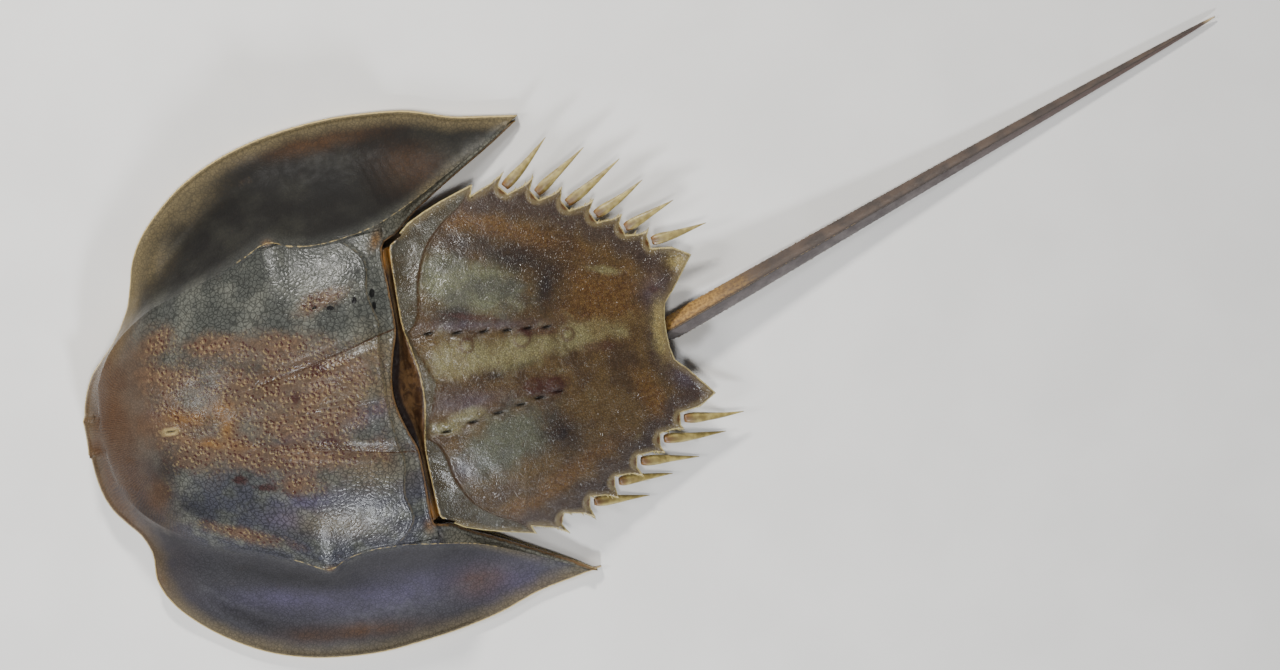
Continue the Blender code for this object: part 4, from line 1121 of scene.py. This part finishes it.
def rear_skin():
    s = Skin("rear_shield_skin")
    warp = s.warped(5.0, 1.2)
    cloud = s.noise(10.0, 5.0)
    speck = s.noise(1.3, 4.0)
    fray = s.noise(6.0, 6.0)
    fine_edge = s.ramp(s.cells(0.7, "DISTANCE_TO_EDGE", warp), 0.03, 0.25)
    pore = s.ramp(s.cells(1.0, "F1", warp), 0.3, 0.12)
    s.colour = s.mix(s.ramp(cloud, 0.38, 0.65), BRONZE, BRONZE_DARK)
    rust = s.times(s.patch("rust", fray), 0.85)
    s.paint(rust, s.mix(s.ramp(speck, 0.3, 0.7), RUST, RUST_PALE))
    sage = s.mix(s.ramp(cloud, 0.38, 0.66), SAGE, SAGE_DARK)
    sage = s.mix(s.ramp(speck, 0.3, 0.7, 0.45, 0.0), sage, SAGE_DARK)
    sage = s.mix(s.times(s.value("low_side"), 0.7), sage, SAGE_DARK)
    s.paint(s.patch("sage", fray, 0.1, 0.75, 1.0), sage)
    s.paint(s.times(s.soft_patch("dark", fray), 0.95), PLUM)
    edge_band = s.plus(s.value("to_rim"), s.times(fray, 4.0))
    s.paint(s.ramp(edge_band, 11.0, 6.0, 0.0, 0.75), MARGIN)
    gold = s.times(s.patch("gold", fray), s.ramp(speck, 0.2, 0.6, 0.45, 0.9))
    gold = s.times(gold, s.ramp(cloud, 0.35, 0.6, 0.55, 1.0))
    s.paint(gold, LOBE_GOLD)
    lip = s.times(s.times(s.value("gold"), s.value("rear")), s.ramp(speck, 0.3, 0.65, 0.4, 0.9))
    s.paint(lip, tone(0.30, 0.22, 0.08))
    # Painted sheen: lilac patches for the shell's blue-purple shimmer
    s.paint(s.times(s.soft_patch("violet_sheen", fray), 0.3), VIOLET_SHEEN)
    s.paint(s.times(s.patch("maroon", speck), 0.6), tone(0.055, 0.022, 0.018))
    facet = s.value("facet")
    s.paint(s.times(facet, 0.75), s.mix(s.ramp(fray, 0.4, 0.62), OLIVE, SAGE_DARK))
    s.paint(s.times(pore, 0.5), MAROON)
    s.paint(s.ramp(fine_edge, 0.0, 1.0, 0.42, 0.0), DARK)
    s.paint(s.times(s.value("pit"), 0.95), DARK)
    s.paint(s.times(s.value("boss_ring"), 0.6), MAROON)
    s.paint(s.ramp(s.value("to_facet"), 0.42, 0.15, 0.0, 0.7), SEAM)
    band = s.plus(s.value("to_rim"), s.times(fray, 3.0))
    s.paint(s.ramp(band, 4.4, 2.0, 0.0, 0.45), KHAKI)
    s.paint(s.ramp(s.value("to_socket"), 3.9, 2.7, 0.0, 0.6), KHAKI)
    s.paint(s.ramp(s.value("to_socket"), 2.2, 1.4), RUST)
    line = s.plus(s.value("to_rim"), s.times(speck, 0.8))
    s.paint(s.ramp(line, 0.95, 0.5), PALE_GOLD)
    s.paint(s.ramp(s.plus(s.value("to_front"), speck), 1.05, 0.6, 0.0, 0.8), GOLD)
    s.paint(s.value("inside"), UNDERSIDE)
    rough = s.ramp(s.noise(3.0, 4.0), 0.3, 0.75, 0.16, 0.3)
    grain = s.times(fine_edge, 0.055)
    roughen = s.times(s.noise(1.3, 5.0), 0.16)
    height = s.minus(s.plus(grain, roughen), s.times(pore, 0.02))
    return s.finish(rough, height, REAR_GLOSS)


def spine_skin():
    s = Skin("side_spine_skin")
    speck = s.noise(0.9, 4.0)
    streak = s.noise(2.0, 4.0)
    s.colour = s.mix(s.ramp(streak, 0.35, 0.7), tone(0.20, 0.15, 0.045), tone(0.37, 0.295, 0.10))
    foot = s.ramp(s.plus(s.value("along"), s.times(streak, 0.1)), 0.22, 0.06)
    s.paint(foot, tone(0.16, 0.075, 0.02))
    groove = s.times(s.ramp(s.value("crown"), 0.8, 1.0), s.ramp(s.value("along"), 0.5, 0.1))
    s.paint(s.times(groove, 0.6), COPPER_DARK)
    s.paint(s.ramp(speck, 0.62, 0.75, 0.0, 0.5), KHAKI)
    height = s.times(speck, 0.06)
    return s.finish(s.ramp(speck, 0.3, 0.7, 0.32, 0.5), height)


def tail_skin():
    s = Skin("tail_skin")
    speck = s.noise(0.9, 4.0)
    streak = s.noise(6.0, 5.0)
    along = s.value("along")
    dark = s.mix(s.ramp(streak, 0.35, 0.65), tone(0.030, 0.019, 0.014), tone(0.062, 0.038, 0.025))
    golden = s.mix(s.ramp(speck, 0.3, 0.7), tone(0.13, 0.062, 0.012), tone(0.34, 0.19, 0.040))
    reach = s.plus(along, s.times(s.minus(streak, 0.5), 0.12))
    upper = s.mix(s.ramp(reach, 0.2, 0.05), dark, golden)
    lilac = s.mix(s.ramp(streak, 0.35, 0.65), tone(0.060, 0.048, 0.048), tone(0.105, 0.088, 0.085))
    lower = s.mix(s.ramp(along, 0.35, 0.95), lilac, tone(0.085, 0.048, 0.038))
    s.colour = s.mix(s.ramp(s.value("across"), -0.08, 0.02), lower, upper)
    keel = s.ramp(s.value("crown"), 0.72, 0.93)
    s.paint(s.times(keel, 0.85), tone(0.022, 0.013, 0.010))
    s.paint(s.ramp(along, 0.975, 0.995), tone(0.45, 0.34, 0.18))
    s.paint(s.ramp(s.value("crown"), -0.6, -0.75), tone(0.10, 0.07, 0.05))
    height = s.plus(s.times(speck, 0.08), s.times(s.noise(0.35, 2.0), 0.04))
    return s.finish(s.ramp(speck, 0.3, 0.7, 0.38, 0.58), height)


def hinge_material():
    s = Skin("hinge_skin_colour")
    speck = s.noise(1.1, 4.0)
    fold = s.noise(3.5, 4.0, distortion=1.0)
    s.colour = s.mix(s.ramp(fold, 0.35, 0.65), tone(0.030, 0.014, 0.007), tone(0.085, 0.044, 0.018))
    # Painted shade: the skin is drawn near-black under the front shield's rear edge and along the front of
    # the gap
    slit = s.ramp(s.value("open_share"), 0.26, 0.12)
    s.paint(slit, tone(0.008, 0.004, 0.003))
    s.paint(s.times(s.value("corner"), 0.7), tone(0.24, 0.10, 0.012))
    height = s.plus(s.times(speck, 0.1), s.times(fold, 0.2))
    return s.finish(s.ramp(speck, 0.3, 0.7, 0.28, 0.45), height)


def bristle_skin(name, low, high):
    s = Skin(name)
    speck = s.noise(2.0, 3.0)
    s.colour = s.mix(s.ramp(speck, 0.35, 0.65), low, high)
    return s.finish(s.ramp(speck, 0.3, 0.7, 0.4, 0.55), s.times(speck, 0.02))


def floor_material():
    s = Skin("pale_floor")
    speck = s.noise(40.0, 3.0)
    s.colour = s.mix(s.ramp(speck, 0.3, 0.7), tone(0.70, 0.69, 0.67), tone(0.74, 0.73, 0.71))
    set_inputs(s.shader, s.tree, {"Base Color": s.colour, "Roughness": 0.9, "Specular IOR Level": 0.1})
    return s.material


# Stage

def in_plan(place):
    x, y, z = place
    return Vector(((x - PLAN_SHIFT) * MM, y * MM, z * MM))


def add_light(name, place, aim, size, power, colour):
    """A soft square lamp, at a place in plan millimetres and pointing at another."""
    lamp = bpy.data.lights.new(name, "AREA")
    lamp.shape = "RECTANGLE"
    lamp.size, lamp.size_y = (MM * side for side in size)
    lamp.energy = power
    lamp.color = colour
    thing = bpy.data.objects.new(name, lamp)
    bpy.context.scene.collection.objects.link(thing)
    thing.location = in_plan(place)
    thing.rotation_euler = (in_plan(aim) - in_plan(place)).to_track_quat("-Z", "Y").to_euler()


def make_stage():
    bpy.ops.mesh.primitive_plane_add(size=FLOOR_SIZE, location=(0.0, 0.0, 0.0))
    floor = bpy.context.object
    floor.name = "floor"
    floor.data.materials.append(floor_material())
    world = bpy.data.worlds.new("studio")
    world.use_nodes = True
    world.node_tree.nodes["Background"].inputs["Color"].default_value = tone(0.9, 0.93, 1.0)
    world.node_tree.nodes["Background"].inputs["Strength"].default_value = WORLD_STRENGTH
    bpy.context.scene.world = world
    for name, place, size, power, colour in LAMPS:
        add_light(name, place, LAMP_AIM, size, power, colour)


def make_camera():
    lens = bpy.data.cameras.new("camera")
    lens.lens = CAMERA_LENS
    lens.sensor_width = SENSOR_WIDTH
    thing = bpy.data.objects.new("camera", lens)
    thing.location = in_plan(CAMERA_PLACE)
    thing.rotation_euler = [math.radians(a) for a in CAMERA_TURN]
    bpy.context.scene.collection.objects.link(thing)
    bpy.context.scene.camera = thing


def dress(piece, material, slot, *replaced):
    piece.data.materials.append(material)
    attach(piece, "root")
    if replaced:
        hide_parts(*replaced)


make_camera()
make_stage()
dress(make_front_shield(), front_skin(), "front_shield", "prosoma")
dress(make_rear_shield(), rear_skin(), "rear_shield", "opisthosoma")
dress(make_hinge_skin(), hinge_material(), "membrane", "hinge_membrane")
dress(make_tail(), tail_skin(), "tail", "telson")
spine_colour = spine_skin()
for i, socket in enumerate(SOCKETS):
    for word, turns, spread, mirror in (("right", RIGHT_SPINE_TURNS, RIGHT_SPINE_SHARE, 1),
                                        ("left", LEFT_SPINE_TURNS, LEFT_SPINE_SHARE, -1)):
        if turns[i]:
            name = f"{word}_side_spine_{i + 1}"
            spine = make_side_spine(name, socket, turns[i], spread[i], mirror, 10 * i + mirror)
            dress(spine, spine_colour, "spine", f"{word}_spine_{i + 1}")
pale_bristles = bristle_skin("pale_bristles", tone(0.30, 0.24, 0.09), tone(0.52, 0.43, 0.2))
dress(make_shield_bristles(), pale_bristles, "front_shield")
dress(make_tooth_bristles(), pale_bristles, "rear_shield")
tail_bristles = bristle_skin("tail_bristles", tone(0.16, 0.09, 0.03), tone(0.36, 0.24, 0.09))
dress(make_tail_hairs(), tail_bristles, "tail")
